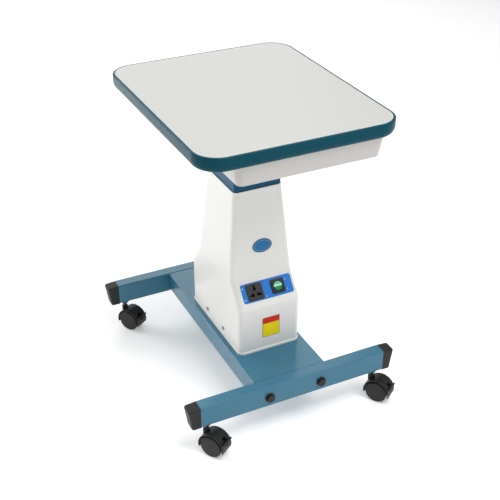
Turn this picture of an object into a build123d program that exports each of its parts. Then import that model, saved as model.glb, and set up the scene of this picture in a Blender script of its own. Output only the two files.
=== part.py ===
"""Motor-driven instrument lift table on four casters.

A low H-shaped steel base on four braked twin-wheel casters carries a moulded column cover.
A steel mast rises out of the cover on a motor-driven lead screw and carries a white laminated
top with a moulded edge and a shallow drawer under its front.

Millimetres. X is to the right, Y to the back, Z up. The controls face -Y. The origin is on the
floor, under the middle of the whole outline with the lift at its lower stop.
"""
from build123d import *
from math import cos, radians, sin
import os

# %% Clearances, shared by every pair that fits
RUN = 0.05            # radial running clearance of a pin or shaft
SLIDE = 0.2           # gap of a flat sliding face
CLEAR = 0.5           # gap of the mast in the cover
HOLE = 0.2            # radial play of a screw or bolt in its hole

# %% Casters
WHEEL_RADIUS = 25.0
WHEEL_WIDTH = 12.0
WHEEL_DISC = 2.4      # outer wall of a wheel
WHEEL_CROWN = 0.6     # middle of the disc ahead of its edge
WHEEL_EDGE = 1.6
WHEEL_RIM = 3.2
WHEEL_HUB_RADIUS = 7.0
WHEEL_SIDE_PLAY = 0.5
CASTER_TRAIL = 19.7   # from the swivel axis back to the axle
CASTER_TURN = -56.0   # direction of the trail, degrees from +X
WEB_WIDTH = 13.0      # middle of the hood, between the wheels
HOOD_HALF_WIDTH = 17.2
HOOD_GAP = 3.1        # hood over the tread
HOOD_WALL = 2.3
HOOD_LEAD_ANGLE = 196.0
HOOD_TAIL_ANGLE = -15.0
HOOD_WEB_ANGLE = 170.0   # where the middle web meets the cover at the front
AXLE_RADIUS = 3.0
AXLE_END_GAP = 0.5
BOSS_RADIUS = 7.5
BOSS_FOOT = 45.0      # the wide part of the boss starts above the wheels
BOSS_TOP = 55.7
BOSS_FLOOR = 3.0
STEM_PIN_RADIUS = 4.0
STEM_PIN_LENGTH = 19.0
STEM_FLANGE_RADIUS = 6.5
STEM_FLANGE = 2.0
STEM_RADIUS = 5.0
STEM_END = 2.0        # stem past its upper nut
NUT_FLATS = 17.0
NUT_HEIGHT = 8.0
BRAKE_PIVOT = (9.0, 10.0)   # from the axle, along the trail and up
BRAKE_PIN_RADIUS = 1.6
BRAKE_BOSS_RADIUS = 4.0
BRAKE_ARM_WIDTH = 9.0
BRAKE_ARM = 3.2
BRAKE_ARM_ANGLE = 12.5
BRAKE_REACH = 23.4
BRAKE_PAD = (3.4, 33.0, 4.0)   # along the arm, across it, and thick
BRAKE_POCKET = (-8.0, 10.0)    # slot in the hood below and above the arm

# %% Base frame
TUBE_BOTTOM = 75.0    # floor to the underside of the cross tubes
TUBE_HEIGHT = 50.0
TUBE_DEPTH = 30.0
TUBE_WALL = 2.0
TUBE_RADIUS = 3.0
TUBE_LENGTH = 438.0
BASE_DEPTH = 532.0
CASTER_INSET = 17.0   # end of a cross tube to the swivel axis
CAP_LENGTH = 27.3
CAP_TAPER = 7.5
CAP_CORNER = 5.0      # rounding of its two outer uprights
CAP_DROP = 2.5
CAP_PLUG = 6.5
BEAM_WIDTH = 171.0
BEAM_HEIGHT = 46.6
BEAM_DROP = 1.0       # beam top below the top of the cross tubes
BEAM_SHEET = 3.0
BEAM_LIP = 14.0
BEAM_END_PLATE = 5.0
FRAME_BOLT_SPREAD = 123.0
FRAME_BOLT_RADIUS = 5.0
FRAME_BOLT_DROP = 2.0
BOLT_HEAD_RADIUS = 8.7
BOLT_HEAD = 6.0
BOLT_HEAD_ROUND = 1.2
WASHER_RADIUS = 11.2
WASHER = 1.6

# %% Column cover
COLUMN_SHIFT = -11.6  # column axis ahead of the middle of the base
COLUMN_X = 1.5        # column axis to the right of the beam's middle
COVER_HALF_X = 73.2
COVER_HALF_Y = 129.0
COVER_CORNER = 12.0
COVER_WALL = 2.5
COVER_LIP = 1.7       # wall at the mouth
SHOULDER_HALF_Y = 87.5
SHOULDER_BOTTOM = 114.5   # above the beam
SHOULDER_TOP = 165.5
SHOULDER_BEND = 11.0
COVER_HEIGHT = 368.0
COVER_MOUTH_DEPTH = 40.0
RIM_PROUD = 1.8
RIM_HEIGHT = 5.0
COVER_SCREW_HEIGHT = 19.5
COVER_SCREW_SPREAD = 85.0
COVER_SCREW_RADIUS = 2.0
COVER_SCREW_HEAD = 4.2
COVER_SCREW_DOME = 2.4   # height of its head

# %% Controls on the shoulder
CONTROLS_RISE = 2.3   # controls above the middle of the slope
LABEL_X = 3.3
LABEL_WIDTH = 120.0
LABEL_HEIGHT = 42.0
LABEL = 0.8
LABEL_CORNER = 5.0
OUTLET_X = -26.8
OUTLET_SIDE = 37.0
OUTLET_CORNER = 3.0
OUTLET_FLANGE = 2.4
OUTLET_BODY = 32.0
OUTLET_DEPTH = 18.0
OUTLET_SLOT = 4.0
OUTLET_SLOT_DEPTH = 12.0
OUTLET_SLOTS = ((0.0, 7.5, 0.0, 11.0), (-8.5, -6.5, 30.0, 9.0),
                (8.5, -6.5, -30.0, 9.0))   # x, y, turn and length of each
HOUSING_CORNER = 1.5
SWITCH_X = 28.2
BEZEL_SIDE = 31.5
BEZEL = 2.6
BEZEL_CORNER = 4.0
BEZEL_BODY = 24.5
BEZEL_DEPTH = 15.0
ROCKER_RADIUS = 9.9
ROCKER_GAP = 0.8
ROCKER_RISE = 2.6
ROCKER_SKIRT = 4.0
ROCKER_DIP = 1.7
ROCKER_PIN_RADIUS = 1.5

# %% Plates on the front
NOTICE_WIDTH = 41.5
NOTICE_HEIGHT = 50.5
NOTICE = 0.6
NOTICE_X = 2.4
NOTICE_ABOVE_BEAM = 58.0
BADGE_WIDTH = 45.5
BADGE_HEIGHT = 31.5
BADGE = 1.2
BADGE_X = 3.1
BADGE_ABOVE_BEAM = 237.0

# %% Mast and top
MAST_HALF_X = 54.3
MAST_HALF_Y = 67.5
MAST_CORNER = 6.0
MAST_WALL = 2.5
MAST_LIFT = 8.0       # mast foot above the column base plate
TOP_HEIGHT = 685.0    # floor to the top at the lower stop
TOP_WIDTH = 420.5
TOP_DEPTH = 511.0
TOP_SHIFT = -19.5     # middle of the top ahead of the column axis
TOP_CORNER = 53.0
TOP_THICKNESS = 29.0
LAMINATE = 1.0
BAND_LIP = 5.5        # band beside the laminate
BAND_DEPTH = 15.0     # band from the board to its widest line
BAND_ROUND = 2.5      # its upper edge
BAND_UNDER = (8.0, 14.0)   # its lower rounding, inward and upward
HEAD_PLATE = 4.0
HEAD_HALF_X = 125.0
HEAD_HALF_Y = 185.0
HEAD_CORNER = 10.0
RIB = 4.0
RIB_REACH = 58.0
RIB_DROP = 50.0
RIB_SPREAD = 90.0
RIB_TOE = 8.0
HEAD_SCREW_RADIUS = 2.2
HEAD_SCREW_INSET = 15.0
HEAD_SCREW_LENGTH = 16.0
HEAD_SCREW_DOME = 2.6

# %% Drawer
DRAWER_X = 20.0
DRAWER_WIDTH = 302.0  # at its floor
DRAWER_DEPTH = 168.0
DRAWER_HEIGHT = 37.0
DRAWER_DRAFT = 7.5
DRAWER_WALL = 2.5
DRAWER_CORNER = 13.0
DRAWER_FLOOR_ROUND = 2.0
DRAWER_BOTTOM_DROP = 46.3   # drawer's floor below the underside of the top
DRAWER_FRONT_INSET = 21.8   # drawer's foot behind the widest line of the band
DRAWER_FLANGE = 7.0
DRAWER_FLANGE_START = 4.0   # behind the rounding of its front
FRONT_GAP = 0.4
RAIL_SHEET = 1.5
RAIL_FOOT = 9.0

# %% Lift drive
PLATE = 4.0
PLATE_HALF_Y = 116.0
PLATE_BOLT_X = 52.0
PLATE_BOLT_Y = 95.0
PLATE_BOLT_RADIUS = 4.0
PLATE_BOLT_HEAD = 6.5
PLATE_BOLT_HEAD_HEIGHT = 5.0
TAB_HEIGHT = 34.0
TAB_SHEET = 2.5
TAB_HALF_Y = 62.0
POST_HALF_X = 42.0
POST_HALF_Y = 56.0
POST_WALL = 3.0
POST_CORNER = 4.0
POST_FLANGE = 5.0
POST_FLANGE_PROUD = 7.0
POST_TOP = 566.0
COLLAR_HEIGHT = 40.0
MAST_COLLAR_HEIGHT = 34.0
SCREW_Y = 30.0        # lead screw behind the column axis
SCREW_RADIUS = 8.0
SCREW_TOP = 456.0
SCREW_SEAT = 22.0     # depth of its bearing in the gearbox
NUT_BOTTOM = 201.0
NUT_LENGTH = 22.0
NUT_SPIGOT = 10.0
DRIVE_TUBE_RADIUS = 17.0
DRIVE_TUBE_WALL = 2.0
DRIVE_TUBE_TOP = 506.0
DRIVE_BUSH = 16.0
PUSH_RADIUS = 13.0
PUSH_WALL = 3.0
PUSH_FLANGE_RADIUS = 21.0
PUSH_FLANGE = 5.0
GEARBOX_HALF_X = 27.0
GEARBOX_HEIGHT = 40.0
GEARBOX_CORNER = 12.0
GEARBOX_EDGE = 2.0
GEARBOX_Y = (-48.0, 51.0)   # its two ends, from the column axis
MOTOR_Y = -20.0
MOTOR_RADIUS = 26.5
MOTOR_HEIGHT = 118.0
MOTOR_CHAMFER = 3.0
MOTOR_CAP = (8.0, 6.0)    # radius and height of the bearing cap
SWITCH_STRIP = 1.2
SWITCH_STRIP_WIDTH = 16.0
MICRO_SWITCH = (6.0, 12.0, 20.0)
SWITCH_STRIP_START = 60.0   # above the base plate
SWITCH_STRIP_END = 4.0
STROKE = 200.0

# %% Electrics
CONTROL_BOX = (80.0, 40.0, 78.0)
TRANSFORMER = (74.0, 38.0, 62.0)
BOX_GAP = 6.0         # electrics behind the cover's front and back walls
INLET_ABOVE_BEAM = 58.0
INLET_FLANGE = (34.0, 27.0, 2.5)
INLET_BODY = (27.5, 20.5, 19.0)
INLET_MOUTH = (23.0, 16.0, 15.0)
INLET_BLADE = (2.0, 4.0, 12.0)
INLET_BLADE_SPREAD = 14.0
INLET_SCREW_SPREAD = 40.0
INLET_EAR_RADIUS = 5.0
INLET_CORNER = 2.0

# %% Places that follow from the sizes above
TRAIL_X = cos(radians(CASTER_TURN))
TRAIL_Y = sin(radians(CASTER_TURN))
HOOD_RADIUS = WHEEL_RADIUS + HOOD_GAP + HOOD_WALL
WHEEL_INSIDE = WEB_WIDTH / 2 + WHEEL_SIDE_PLAY
WHEEL_OUTSIDE = WHEEL_INSIDE + WHEEL_WIDTH
CASTER_HALF_Y = (BASE_DEPTH - TUBE_DEPTH) / 2
CASTER_SPREAD = TUBE_LENGTH - 2 * CASTER_INSET
PEDAL_BACK = CASTER_TRAIL + BRAKE_PIVOT[0] + BRAKE_REACH * cos(radians(BRAKE_ARM_ANGLE))
FRONT_REACH = CASTER_HALF_Y - PEDAL_BACK * TRAIL_Y + BRAKE_PAD[1] / 2 * TRAIL_X
CASTER_LEAD = (HOOD_RADIUS - CASTER_TRAIL) * -TRAIL_Y + HOOD_HALF_WIDTH * TRAIL_X
REAR_REACH = max(BASE_DEPTH / 2, CASTER_HALF_Y + CASTER_LEAD)
BASE_Y = (FRONT_REACH - REAR_REACH) / 2
FRONT_TUBE_Y = BASE_Y - CASTER_HALF_Y
REAR_TUBE_Y = BASE_Y + CASTER_HALF_Y
TUBE_TOP = TUBE_BOTTOM + TUBE_HEIGHT
TUBE_MIDDLE = TUBE_BOTTOM + TUBE_HEIGHT / 2 - FRAME_BOLT_DROP
BEAM_TOP = TUBE_TOP - BEAM_DROP
COLUMN_Y = BASE_Y + COLUMN_SHIFT
COVER_TOP = BEAM_TOP + COVER_HEIGHT
COVER_MOUTH_X = MAST_HALF_X + CLEAR
COVER_MOUTH_Y = MAST_HALF_Y + CLEAR
PLATE_TOP = BEAM_TOP + PLATE
TOP_Y = COLUMN_Y + TOP_SHIFT
TOP_UNDERSIDE = TOP_HEIGHT - TOP_THICKNESS
MAST_TOP = TOP_UNDERSIDE - HEAD_PLATE
MAST_FOOT = PLATE_TOP + MAST_LIFT
DRIVE_Y = COLUMN_Y + SCREW_Y
SHOULDER_RUN = COVER_HALF_Y - SHOULDER_HALF_Y
SHOULDER_RISE = SHOULDER_TOP - SHOULDER_BOTTOM
SHOULDER_FACE = Plane(
    origin=(0, COLUMN_Y - (COVER_HALF_Y + SHOULDER_HALF_Y) / 2,
            BEAM_TOP + (SHOULDER_BOTTOM + SHOULDER_TOP) / 2),
    x_dir=(1, 0, 0), z_dir=(0, -SHOULDER_RISE, SHOULDER_RUN))
DRAWER_FLOOR = TOP_UNDERSIDE - DRAWER_BOTTOM_DROP
DRAWER_TOP = DRAWER_FLOOR + DRAWER_HEIGHT
DRAWER_FRONT = TOP_Y - TOP_DEPTH / 2 + DRAWER_FRONT_INSET
DRAWER_Y = DRAWER_FRONT + DRAWER_DEPTH / 2


# %% Shape helpers
def block(x, y, z):
    """A box from three (low, high) pairs."""
    size = [high - low for low, high in (x, y, z)]
    middle = [(high + low) / 2 for low, high in (x, y, z)]
    return Pos(*middle) * Box(*size)


def rod(radius, low, high, x=0.0, y=0.0):
    """A round bar along Z."""
    return Pos(x, y, low) * Cylinder(radius, high - low, align=(Align.CENTER, Align.CENTER, Align.MIN))


def rod_along_y(radius, low, high, x, z):
    """A round bar along Y."""
    return Pos(x, low, z) * Rot(-90, 0, 0) * Cylinder(
        radius, high - low, align=(Align.CENTER, Align.CENTER, Align.MIN))


def rod_along_x(radius, low, high, y, z):
    """A round bar along X."""
    return Pos(low, y, z) * Rot(0, 90, 0) * Cylinder(
        radius, high - low, align=(Align.CENTER, Align.CENTER, Align.MIN))


def slab(half_x, half_y, corner, low, high, x=0.0, y=0.0):
    """A plate with rounded corners, lying flat."""
    outline = RectangleRounded(2 * half_x, 2 * half_y, corner)
    return Pos(x, y, low) * extrude(outline, amount=high - low)


def square_tube(half_x, half_y, corner, wall, low, high, x=0.0, y=0.0):
    """An upright tube with rounded corners."""
    outer = slab(half_x, half_y, corner, low, high, x, y)
    inner_corner = max(corner - wall, 0.5)
    return outer - slab(half_x - wall, half_y - wall, inner_corner, low, high, x, y)


def hexagon(flats, low, high, x=0.0, y=0.0):
    """A hexagon bar along Z."""
    outline = RegularPolygon(flats / 2, 6, major_radius=False)
    return Pos(x, y, low) * extrude(outline, amount=high - low)


def both_sides(make, spread):
    """One copy of a solid at each side of the middle, as a list."""
    return [make(side * spread / 2) for side in (-1, 1)]


PARTS = {}


def keep(name, *solids):
    """Remember a node's solids under its name."""
    flat = []
    for solid in solids:
        flat += list(solid.solids())
    PARTS[name] = flat[0] if len(flat) == 1 else Compound(children=flat)


def keep_on_column(name, *solids):
    """Remember solids that are drawn about x = 0 and belong on the column's own axis."""
    keep(name, *[Pos(COLUMN_X, 0, 0) * solid for solid in solids])


# %% Base frame
def cross_tube(y_middle):
    """A rectangular steel tube across the base, bored for its casters and frame bolts."""
    outline = RectangleRounded(TUBE_DEPTH, TUBE_HEIGHT, TUBE_RADIUS)
    bore = RectangleRounded(TUBE_DEPTH - 2 * TUBE_WALL, TUBE_HEIGHT - 2 * TUBE_WALL,
                            TUBE_RADIUS - TUBE_WALL)
    start = Plane(origin=(-TUBE_LENGTH / 2, y_middle, TUBE_BOTTOM + TUBE_HEIGHT / 2),
                  x_dir=(0, 1, 0), z_dir=(1, 0, 0))
    tube = extrude(start * (outline - bore), amount=TUBE_LENGTH)
    for x in (-CASTER_SPREAD / 2, CASTER_SPREAD / 2):
        tube -= rod(STEM_RADIUS + HOLE, TUBE_BOTTOM - 1, TUBE_BOTTOM + TUBE_WALL + 1, x, y_middle)
    for x in (-FRAME_BOLT_SPREAD / 2, FRAME_BOLT_SPREAD / 2):
        tube -= rod_along_y(FRAME_BOLT_RADIUS + HOLE, y_middle - TUBE_DEPTH, y_middle + TUBE_DEPTH,
                            x, TUBE_MIDDLE)
    return tube


def centre_beam():
    """A folded steel channel, open below, with lips and a welded plate at each end."""
    low = BEAM_TOP - BEAM_HEIGHT
    half = BEAM_WIDTH / 2
    start = FRONT_TUBE_Y + TUBE_DEPTH / 2
    end = REAR_TUBE_Y - TUBE_DEPTH / 2
    outside = [(-half, low), (-half, BEAM_TOP), (half, BEAM_TOP), (half, low),
               (half - BEAM_LIP, low), (half - BEAM_LIP, low + BEAM_SHEET),
               (half - BEAM_SHEET, low + BEAM_SHEET), (half - BEAM_SHEET, BEAM_TOP - BEAM_SHEET),
               (BEAM_SHEET - half, BEAM_TOP - BEAM_SHEET), (BEAM_SHEET - half, low + BEAM_SHEET),
               (BEAM_LIP - half, low + BEAM_SHEET), (BEAM_LIP - half, low)]
    face = make_face(Polyline(*outside, close=True))
    outer_bends = face.vertices().filter_by(lambda v: abs(v.X) > half - 0.1)
    face = fillet(outer_bends, BEAM_SHEET)
    plane = Plane(origin=(0, end, 0), x_dir=(1, 0, 0), z_dir=(0, -1, 0))
    beam = extrude(plane * face, amount=end - start)
    inner = half - BEAM_SHEET
    for y in (start, end - BEAM_END_PLATE):
        beam += block((-inner, inner), (y, y + BEAM_END_PLATE),
                      (low + BEAM_SHEET, BEAM_TOP - BEAM_SHEET))
    for x in (-FRAME_BOLT_SPREAD / 2, FRAME_BOLT_SPREAD / 2):
        beam -= rod_along_y(FRAME_BOLT_RADIUS + HOLE, start - 1, end + 1, x, TUBE_MIDDLE)
    for x in (-PLATE_BOLT_X, PLATE_BOLT_X):
        for y in (-PLATE_BOLT_Y, PLATE_BOLT_Y):
            beam -= rod(PLATE_BOLT_RADIUS + HOLE, BEAM_TOP - 2 * BEAM_SHEET, BEAM_TOP + 1,
                        COLUMN_X + x, COLUMN_Y + y)
    return beam


def end_cap(side, y_middle):
    """A moulded plug for a tube end: its outer face leans in and its top falls away."""
    start = TUBE_LENGTH / 2
    profile = Polyline((start, TUBE_BOTTOM), (start, TUBE_TOP),
                       (start + CAP_LENGTH, TUBE_TOP - CAP_DROP),
                       (start + CAP_LENGTH - CAP_TAPER, TUBE_BOTTOM), close=True)
    plane = Plane(origin=(0, y_middle + TUBE_DEPTH / 2, 0), x_dir=(1, 0, 0), z_dir=(0, -1, 0))
    cap = extrude(plane * make_face(profile), amount=TUBE_DEPTH)
    tall = TUBE_HEIGHT - CAP_DROP - 1
    uprights = cap.edges().filter_by(lambda e: e.center().X > start + CAP_TAPER and e.length > tall)
    cap = fillet(uprights, CAP_CORNER)
    top_edges = cap.faces().sort_by(Axis.Z)[-1].edges().filter_by(lambda e: e.center().X > start + 1)
    cap = fillet(top_edges, TUBE_RADIUS)
    plug_y = TUBE_DEPTH / 2 - TUBE_WALL - SLIDE
    plug_z = TUBE_HEIGHT / 2 - TUBE_WALL - SLIDE
    middle = TUBE_BOTTOM + TUBE_HEIGHT / 2
    plug = block((start - CAP_PLUG, start), (y_middle - plug_y, y_middle + plug_y),
                 (middle - plug_z, middle + plug_z))
    plug = fillet(plug.edges().filter_by(Axis.X), TUBE_RADIUS - TUBE_WALL)
    bore_y = plug_y - TUBE_WALL
    bore_z = plug_z - TUBE_WALL
    plug -= block((start - CAP_PLUG, start), (y_middle - bore_y, y_middle + bore_y),
                  (middle - bore_z, middle + bore_z))
    cap += plug
    return cap if side > 0 else mirror(cap, about=Plane.YZ)


def frame_bolt(x, y_outside, direction):
    """A black bolt through a cross tube and the beam's end plate, with washer and nut."""
    grip = TUBE_DEPTH + BEAM_END_PLATE
    washer = rod(WASHER_RADIUS, -WASHER, 0)
    head = rod(BOLT_HEAD_RADIUS, -WASHER - BOLT_HEAD, -WASHER)
    head = fillet(head.faces().sort_by(Axis.Z)[0].edges(), BOLT_HEAD_ROUND)
    shank = rod(FRAME_BOLT_RADIUS, 0, grip + NUT_HEIGHT + 2)
    nut = hexagon(NUT_FLATS, grip, grip + NUT_HEIGHT)
    bolt = washer + head + shank + nut
    return Pos(x, y_outside, TUBE_MIDDLE) * Rot(-90 * direction, 0, 0) * bolt


def make_base():
    keep("front_cross_tube", cross_tube(FRONT_TUBE_Y))
    keep("rear_cross_tube", cross_tube(REAR_TUBE_Y))
    keep("centre_beam", centre_beam())
    for end, y in (("front", FRONT_TUBE_Y), ("rear", REAR_TUBE_Y)):
        for side_name, side in (("left", -1), ("right", 1)):
            keep(f"end_cap_{end}_{side_name}", end_cap(side, y))
    front = FRONT_TUBE_Y - TUBE_DEPTH / 2
    rear = REAR_TUBE_Y + TUBE_DEPTH / 2
    keep("front_frame_bolts", *both_sides(lambda x: frame_bolt(x, front, 1), FRAME_BOLT_SPREAD))
    keep("rear_frame_bolts", *both_sides(lambda x: frame_bolt(x, rear, -1), FRAME_BOLT_SPREAD))


# %% Casters, made with the trail along +X and then turned
def caster_arc(inner, outer, half_width, first, last):
    """Part of a drum wall round the axle, between two angles."""
    steps = 3
    turn = (last - first) / steps
    reach = 2 * outer
    corners = [(0.0, 0.0)]
    for index in range(steps + 1):
        angle = radians(first + index * turn)
        corners.append((reach * cos(angle), reach * sin(angle)))
    wedge = make_face(Polyline(*corners, close=True))
    ring = (Circle(outer) - Circle(inner)) & wedge
    plane = Plane(origin=(CASTER_TRAIL, half_width, WHEEL_RADIUS), x_dir=(1, 0, 0), z_dir=(0, -1, 0))
    return extrude(plane * ring, amount=2 * half_width)


def caster_stem():
    """The threaded stem with its swivel pin, flange and two nuts."""
    flange_bottom = BOSS_TOP + RUN
    stem = rod(STEM_PIN_RADIUS, BOSS_TOP - STEM_PIN_LENGTH, flange_bottom)
    stem += rod(STEM_FLANGE_RADIUS, flange_bottom, flange_bottom + STEM_FLANGE)
    stem += rod(STEM_RADIUS, flange_bottom, TUBE_BOTTOM + TUBE_WALL + NUT_HEIGHT + STEM_END)
    stem += hexagon(NUT_FLATS, TUBE_BOTTOM - NUT_HEIGHT, TUBE_BOTTOM)
    stem += hexagon(NUT_FLATS, TUBE_BOTTOM + TUBE_WALL, TUBE_BOTTOM + TUBE_WALL + NUT_HEIGHT)
    return stem


def brake_pivot():
    return CASTER_TRAIL + BRAKE_PIVOT[0], WHEEL_RADIUS + BRAKE_PIVOT[1]


def caster_hood():
    """The nylon hood: swivel boss, middle web, arched cover over both wheels and the axle."""
    half_web = WEB_WIDTH / 2
    web_radius = WHEEL_RADIUS - WHEEL_RIM
    pin_end = BOSS_TOP - STEM_PIN_LENGTH
    web = rod_along_y(web_radius, -half_web, half_web, CASTER_TRAIL, WHEEL_RADIUS)
    web += block((0, CASTER_TRAIL), (-half_web, half_web), (pin_end - BOSS_FLOOR, BOSS_FOOT))
    web += rod(half_web, pin_end - BOSS_FLOOR, BOSS_TOP)
    web += rod(BOSS_RADIUS, BOSS_FOOT, BOSS_TOP)
    cover = caster_arc(WHEEL_RADIUS + HOOD_GAP, HOOD_RADIUS, HOOD_HALF_WIDTH,
                       HOOD_TAIL_ANGLE, HOOD_LEAD_ANGLE)
    bridge = caster_arc(web_radius - 1, WHEEL_RADIUS + HOOD_GAP + HOOD_WALL / 2, half_web,
                        0, HOOD_WEB_ANGLE)
    hood = web + cover + bridge
    hood -= rod(STEM_PIN_RADIUS + RUN, pin_end - RUN, BOSS_TOP)
    pivot_x, pivot_z = brake_pivot()
    half_arm = BRAKE_ARM_WIDTH / 2 + SLIDE
    pocket = Pos(pivot_x, 0, pivot_z) * Rot(0, -BRAKE_ARM_ANGLE, 0) * block(
        (-BRAKE_BOSS_RADIUS - 1, 2 * BRAKE_REACH), (-half_arm, half_arm), BRAKE_POCKET)
    hood -= pocket
    axle_end = WHEEL_OUTSIDE - WHEEL_DISC - AXLE_END_GAP
    hood += rod_along_y(AXLE_RADIUS, -axle_end, axle_end, CASTER_TRAIL, WHEEL_RADIUS)
    hood += rod_along_y(BRAKE_PIN_RADIUS, -half_web, half_web, pivot_x, pivot_z)
    return hood


def caster_wheel(side):
    """A hollow wheel with a crowned outer disc and a blind hub bore."""
    rim_inside = WHEEL_RADIUS - WHEEL_RIM
    disc_inside = WHEEL_OUTSIDE - WHEEL_DISC
    bore_end = disc_inside + SLIDE
    bore = AXLE_RADIUS + RUN
    disc_edge = WHEEL_RADIUS - WHEEL_EDGE
    low = WHEEL_OUTSIDE - WHEEL_CROWN
    crown = ThreePointArc((0, WHEEL_OUTSIDE), (disc_edge / 2, WHEEL_OUTSIDE - WHEEL_CROWN / 4),
                          (disc_edge, low))
    rest = Polyline((disc_edge, low), (WHEEL_RADIUS, low - WHEEL_EDGE),
                    (WHEEL_RADIUS, WHEEL_INSIDE + WHEEL_EDGE), (disc_edge, WHEEL_INSIDE),
                    (rim_inside, WHEEL_INSIDE), (rim_inside, disc_inside),
                    (WHEEL_HUB_RADIUS, disc_inside), (WHEEL_HUB_RADIUS, WHEEL_INSIDE),
                    (bore, WHEEL_INSIDE), (bore, bore_end), (0, bore_end), (0, WHEEL_OUTSIDE))
    wheel = revolve(make_face(crown.edges() + rest.edges()), axis=Axis.Y)
    if side < 0:
        wheel = mirror(wheel, about=Plane.XZ)
    return Pos(CASTER_TRAIL, 0, WHEEL_RADIUS) * wheel


def brake_lever():
    """A pedal that rocks on the brake pin, with a wide bar outside the hood."""
    pivot_x, pivot_z = brake_pivot()
    half_arm = BRAKE_ARM_WIDTH / 2
    deep, wide, thick = BRAKE_PAD
    under = -BRAKE_ARM / 2
    arm = rod_along_y(BRAKE_BOSS_RADIUS, -half_arm, half_arm, 0, 0)
    arm += block((0, BRAKE_REACH), (-half_arm, half_arm), (under, -under))
    pad = block((BRAKE_REACH - deep, BRAKE_REACH), (-wide / 2, wide / 2), (under, under + thick))
    pad = fillet(pad.edges().filter_by(Axis.Y), deep * 0.35)
    lever = arm + pad
    lever -= rod_along_y(BRAKE_PIN_RADIUS + RUN, -half_arm - 1, half_arm + 1, 0, 0)
    return Pos(pivot_x, 0, pivot_z) * Rot(0, -BRAKE_ARM_ANGLE, 0) * lever


def make_casters():
    for end, y in (("front", FRONT_TUBE_Y), ("rear", REAR_TUBE_Y)):
        for side_name, side in (("left", -1), ("right", 1)):
            name = f"{end}_{side_name}"
            x = side * CASTER_SPREAD / 2
            place = Pos(x, y, 0) * Rot(0, 0, CASTER_TURN)
            keep(f"caster_stem_{name}", Pos(x, y, 0) * caster_stem())
            keep(f"caster_hood_{name}", place * caster_hood())
            keep(f"caster_wheel_outer_{name}", place * caster_wheel(-1))
            keep(f"caster_wheel_inner_{name}", place * caster_wheel(1))
            keep(f"brake_lever_{name}", place * brake_lever())


# %% Column cover
def shouldered_body(half_x, half_y, half_y_shoulder, mouth_x, mouth_y, corner, low, bend):
    """A tapered upright body with a sloping shoulder at the front and the back."""
    shoulder_low = BEAM_TOP + SHOULDER_BOTTOM
    shoulder_high = BEAM_TOP + SHOULDER_TOP
    front_outline = Polyline((-half_x, low), (half_x, low), (half_x, shoulder_high),
                             (mouth_x, COVER_TOP), (-mouth_x, COVER_TOP), (-half_x, shoulder_high),
                             close=True)
    side_outline = Polyline((-half_y, low), (-half_y, shoulder_low), (-half_y_shoulder, shoulder_high),
                            (-mouth_y, COVER_TOP), (mouth_y, COVER_TOP),
                            (half_y_shoulder, shoulder_high), (half_y, shoulder_low), (half_y, low),
                            close=True)
    side_face = make_face(side_outline)
    bends = side_face.vertices().filter_by(lambda v: shoulder_low - 1 < v.Y < shoulder_high + 1)
    side_face = fillet(bends, bend)
    depth = 2 * (half_x + half_y)
    front_solid = extrude(Plane.XZ * make_face(front_outline), amount=depth, both=True)
    side_solid = extrude(Plane.YZ * side_face, amount=depth, both=True)
    body = front_solid & side_solid
    uprights = body.edges().filter_by(lambda e: e.bounding_box().size.Z > 0.3)
    body = fillet(uprights, corner)
    return Pos(0, COLUMN_Y, 0) * body


def on_shoulder(shape, x=0.0, proud=0.0):
    """Place a shape, made flat about the origin, on the sloping front shoulder."""
    return SHOULDER_FACE * (Pos(x, CONTROLS_RISE, proud) * shape)


def column_cover():
    """The moulded cover: shouldered shell, foot rim, mouth for the mast and cut-outs."""
    outer = shouldered_body(COVER_HALF_X, COVER_HALF_Y, SHOULDER_HALF_Y,
                            COVER_MOUTH_X + COVER_LIP, COVER_MOUTH_Y + COVER_LIP,
                            COVER_CORNER, BEAM_TOP, SHOULDER_BEND)
    inner = shouldered_body(COVER_HALF_X - COVER_WALL, COVER_HALF_Y - COVER_WALL,
                            SHOULDER_HALF_Y - COVER_WALL, COVER_MOUTH_X, COVER_MOUTH_Y,
                            COVER_CORNER - COVER_WALL, BEAM_TOP, SHOULDER_BEND)
    rim = square_tube(COVER_HALF_X + RIM_PROUD, COVER_HALF_Y + RIM_PROUD, COVER_CORNER + RIM_PROUD,
                      RIM_PROUD + COVER_WALL, BEAM_TOP, BEAM_TOP + RIM_HEIGHT, 0, COLUMN_Y)
    rim = fillet(rim.faces().sort_by(Axis.Z)[-1].outer_wire().edges(), RIM_PROUD * 0.6)
    mast_way = slab(COVER_MOUTH_X, COVER_MOUTH_Y, MAST_CORNER + CLEAR,
                    COVER_TOP - COVER_MOUTH_DEPTH, COVER_TOP + 1, 0, COLUMN_Y)
    cover = outer - inner + rim - mast_way
    cover -= on_shoulder(Box(OUTLET_BODY + 2 * HOLE, OUTLET_BODY + 2 * HOLE, 20), OUTLET_X)
    cover -= on_shoulder(Box(BEZEL_BODY + 2 * HOLE, BEZEL_BODY + 2 * HOLE, 20), SWITCH_X)
    inlet_x, inlet_z = INLET_BODY[0] / 2 + HOLE, INLET_BODY[1] / 2 + HOLE
    inlet_middle = BEAM_TOP + INLET_ABOVE_BEAM
    back = COLUMN_Y + COVER_HALF_Y
    cover -= block((-inlet_x, inlet_x), (back - 10, back + 10),
                   (inlet_middle - inlet_z, inlet_middle + inlet_z))
    for y in (-COVER_SCREW_SPREAD / 2, COVER_SCREW_SPREAD / 2):
        cover -= rod_along_x(COVER_SCREW_RADIUS + HOLE, -COVER_HALF_X - 5, COVER_HALF_X + 5,
                             COLUMN_Y + y, BEAM_TOP + COVER_SCREW_HEIGHT)
    return cover


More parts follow.
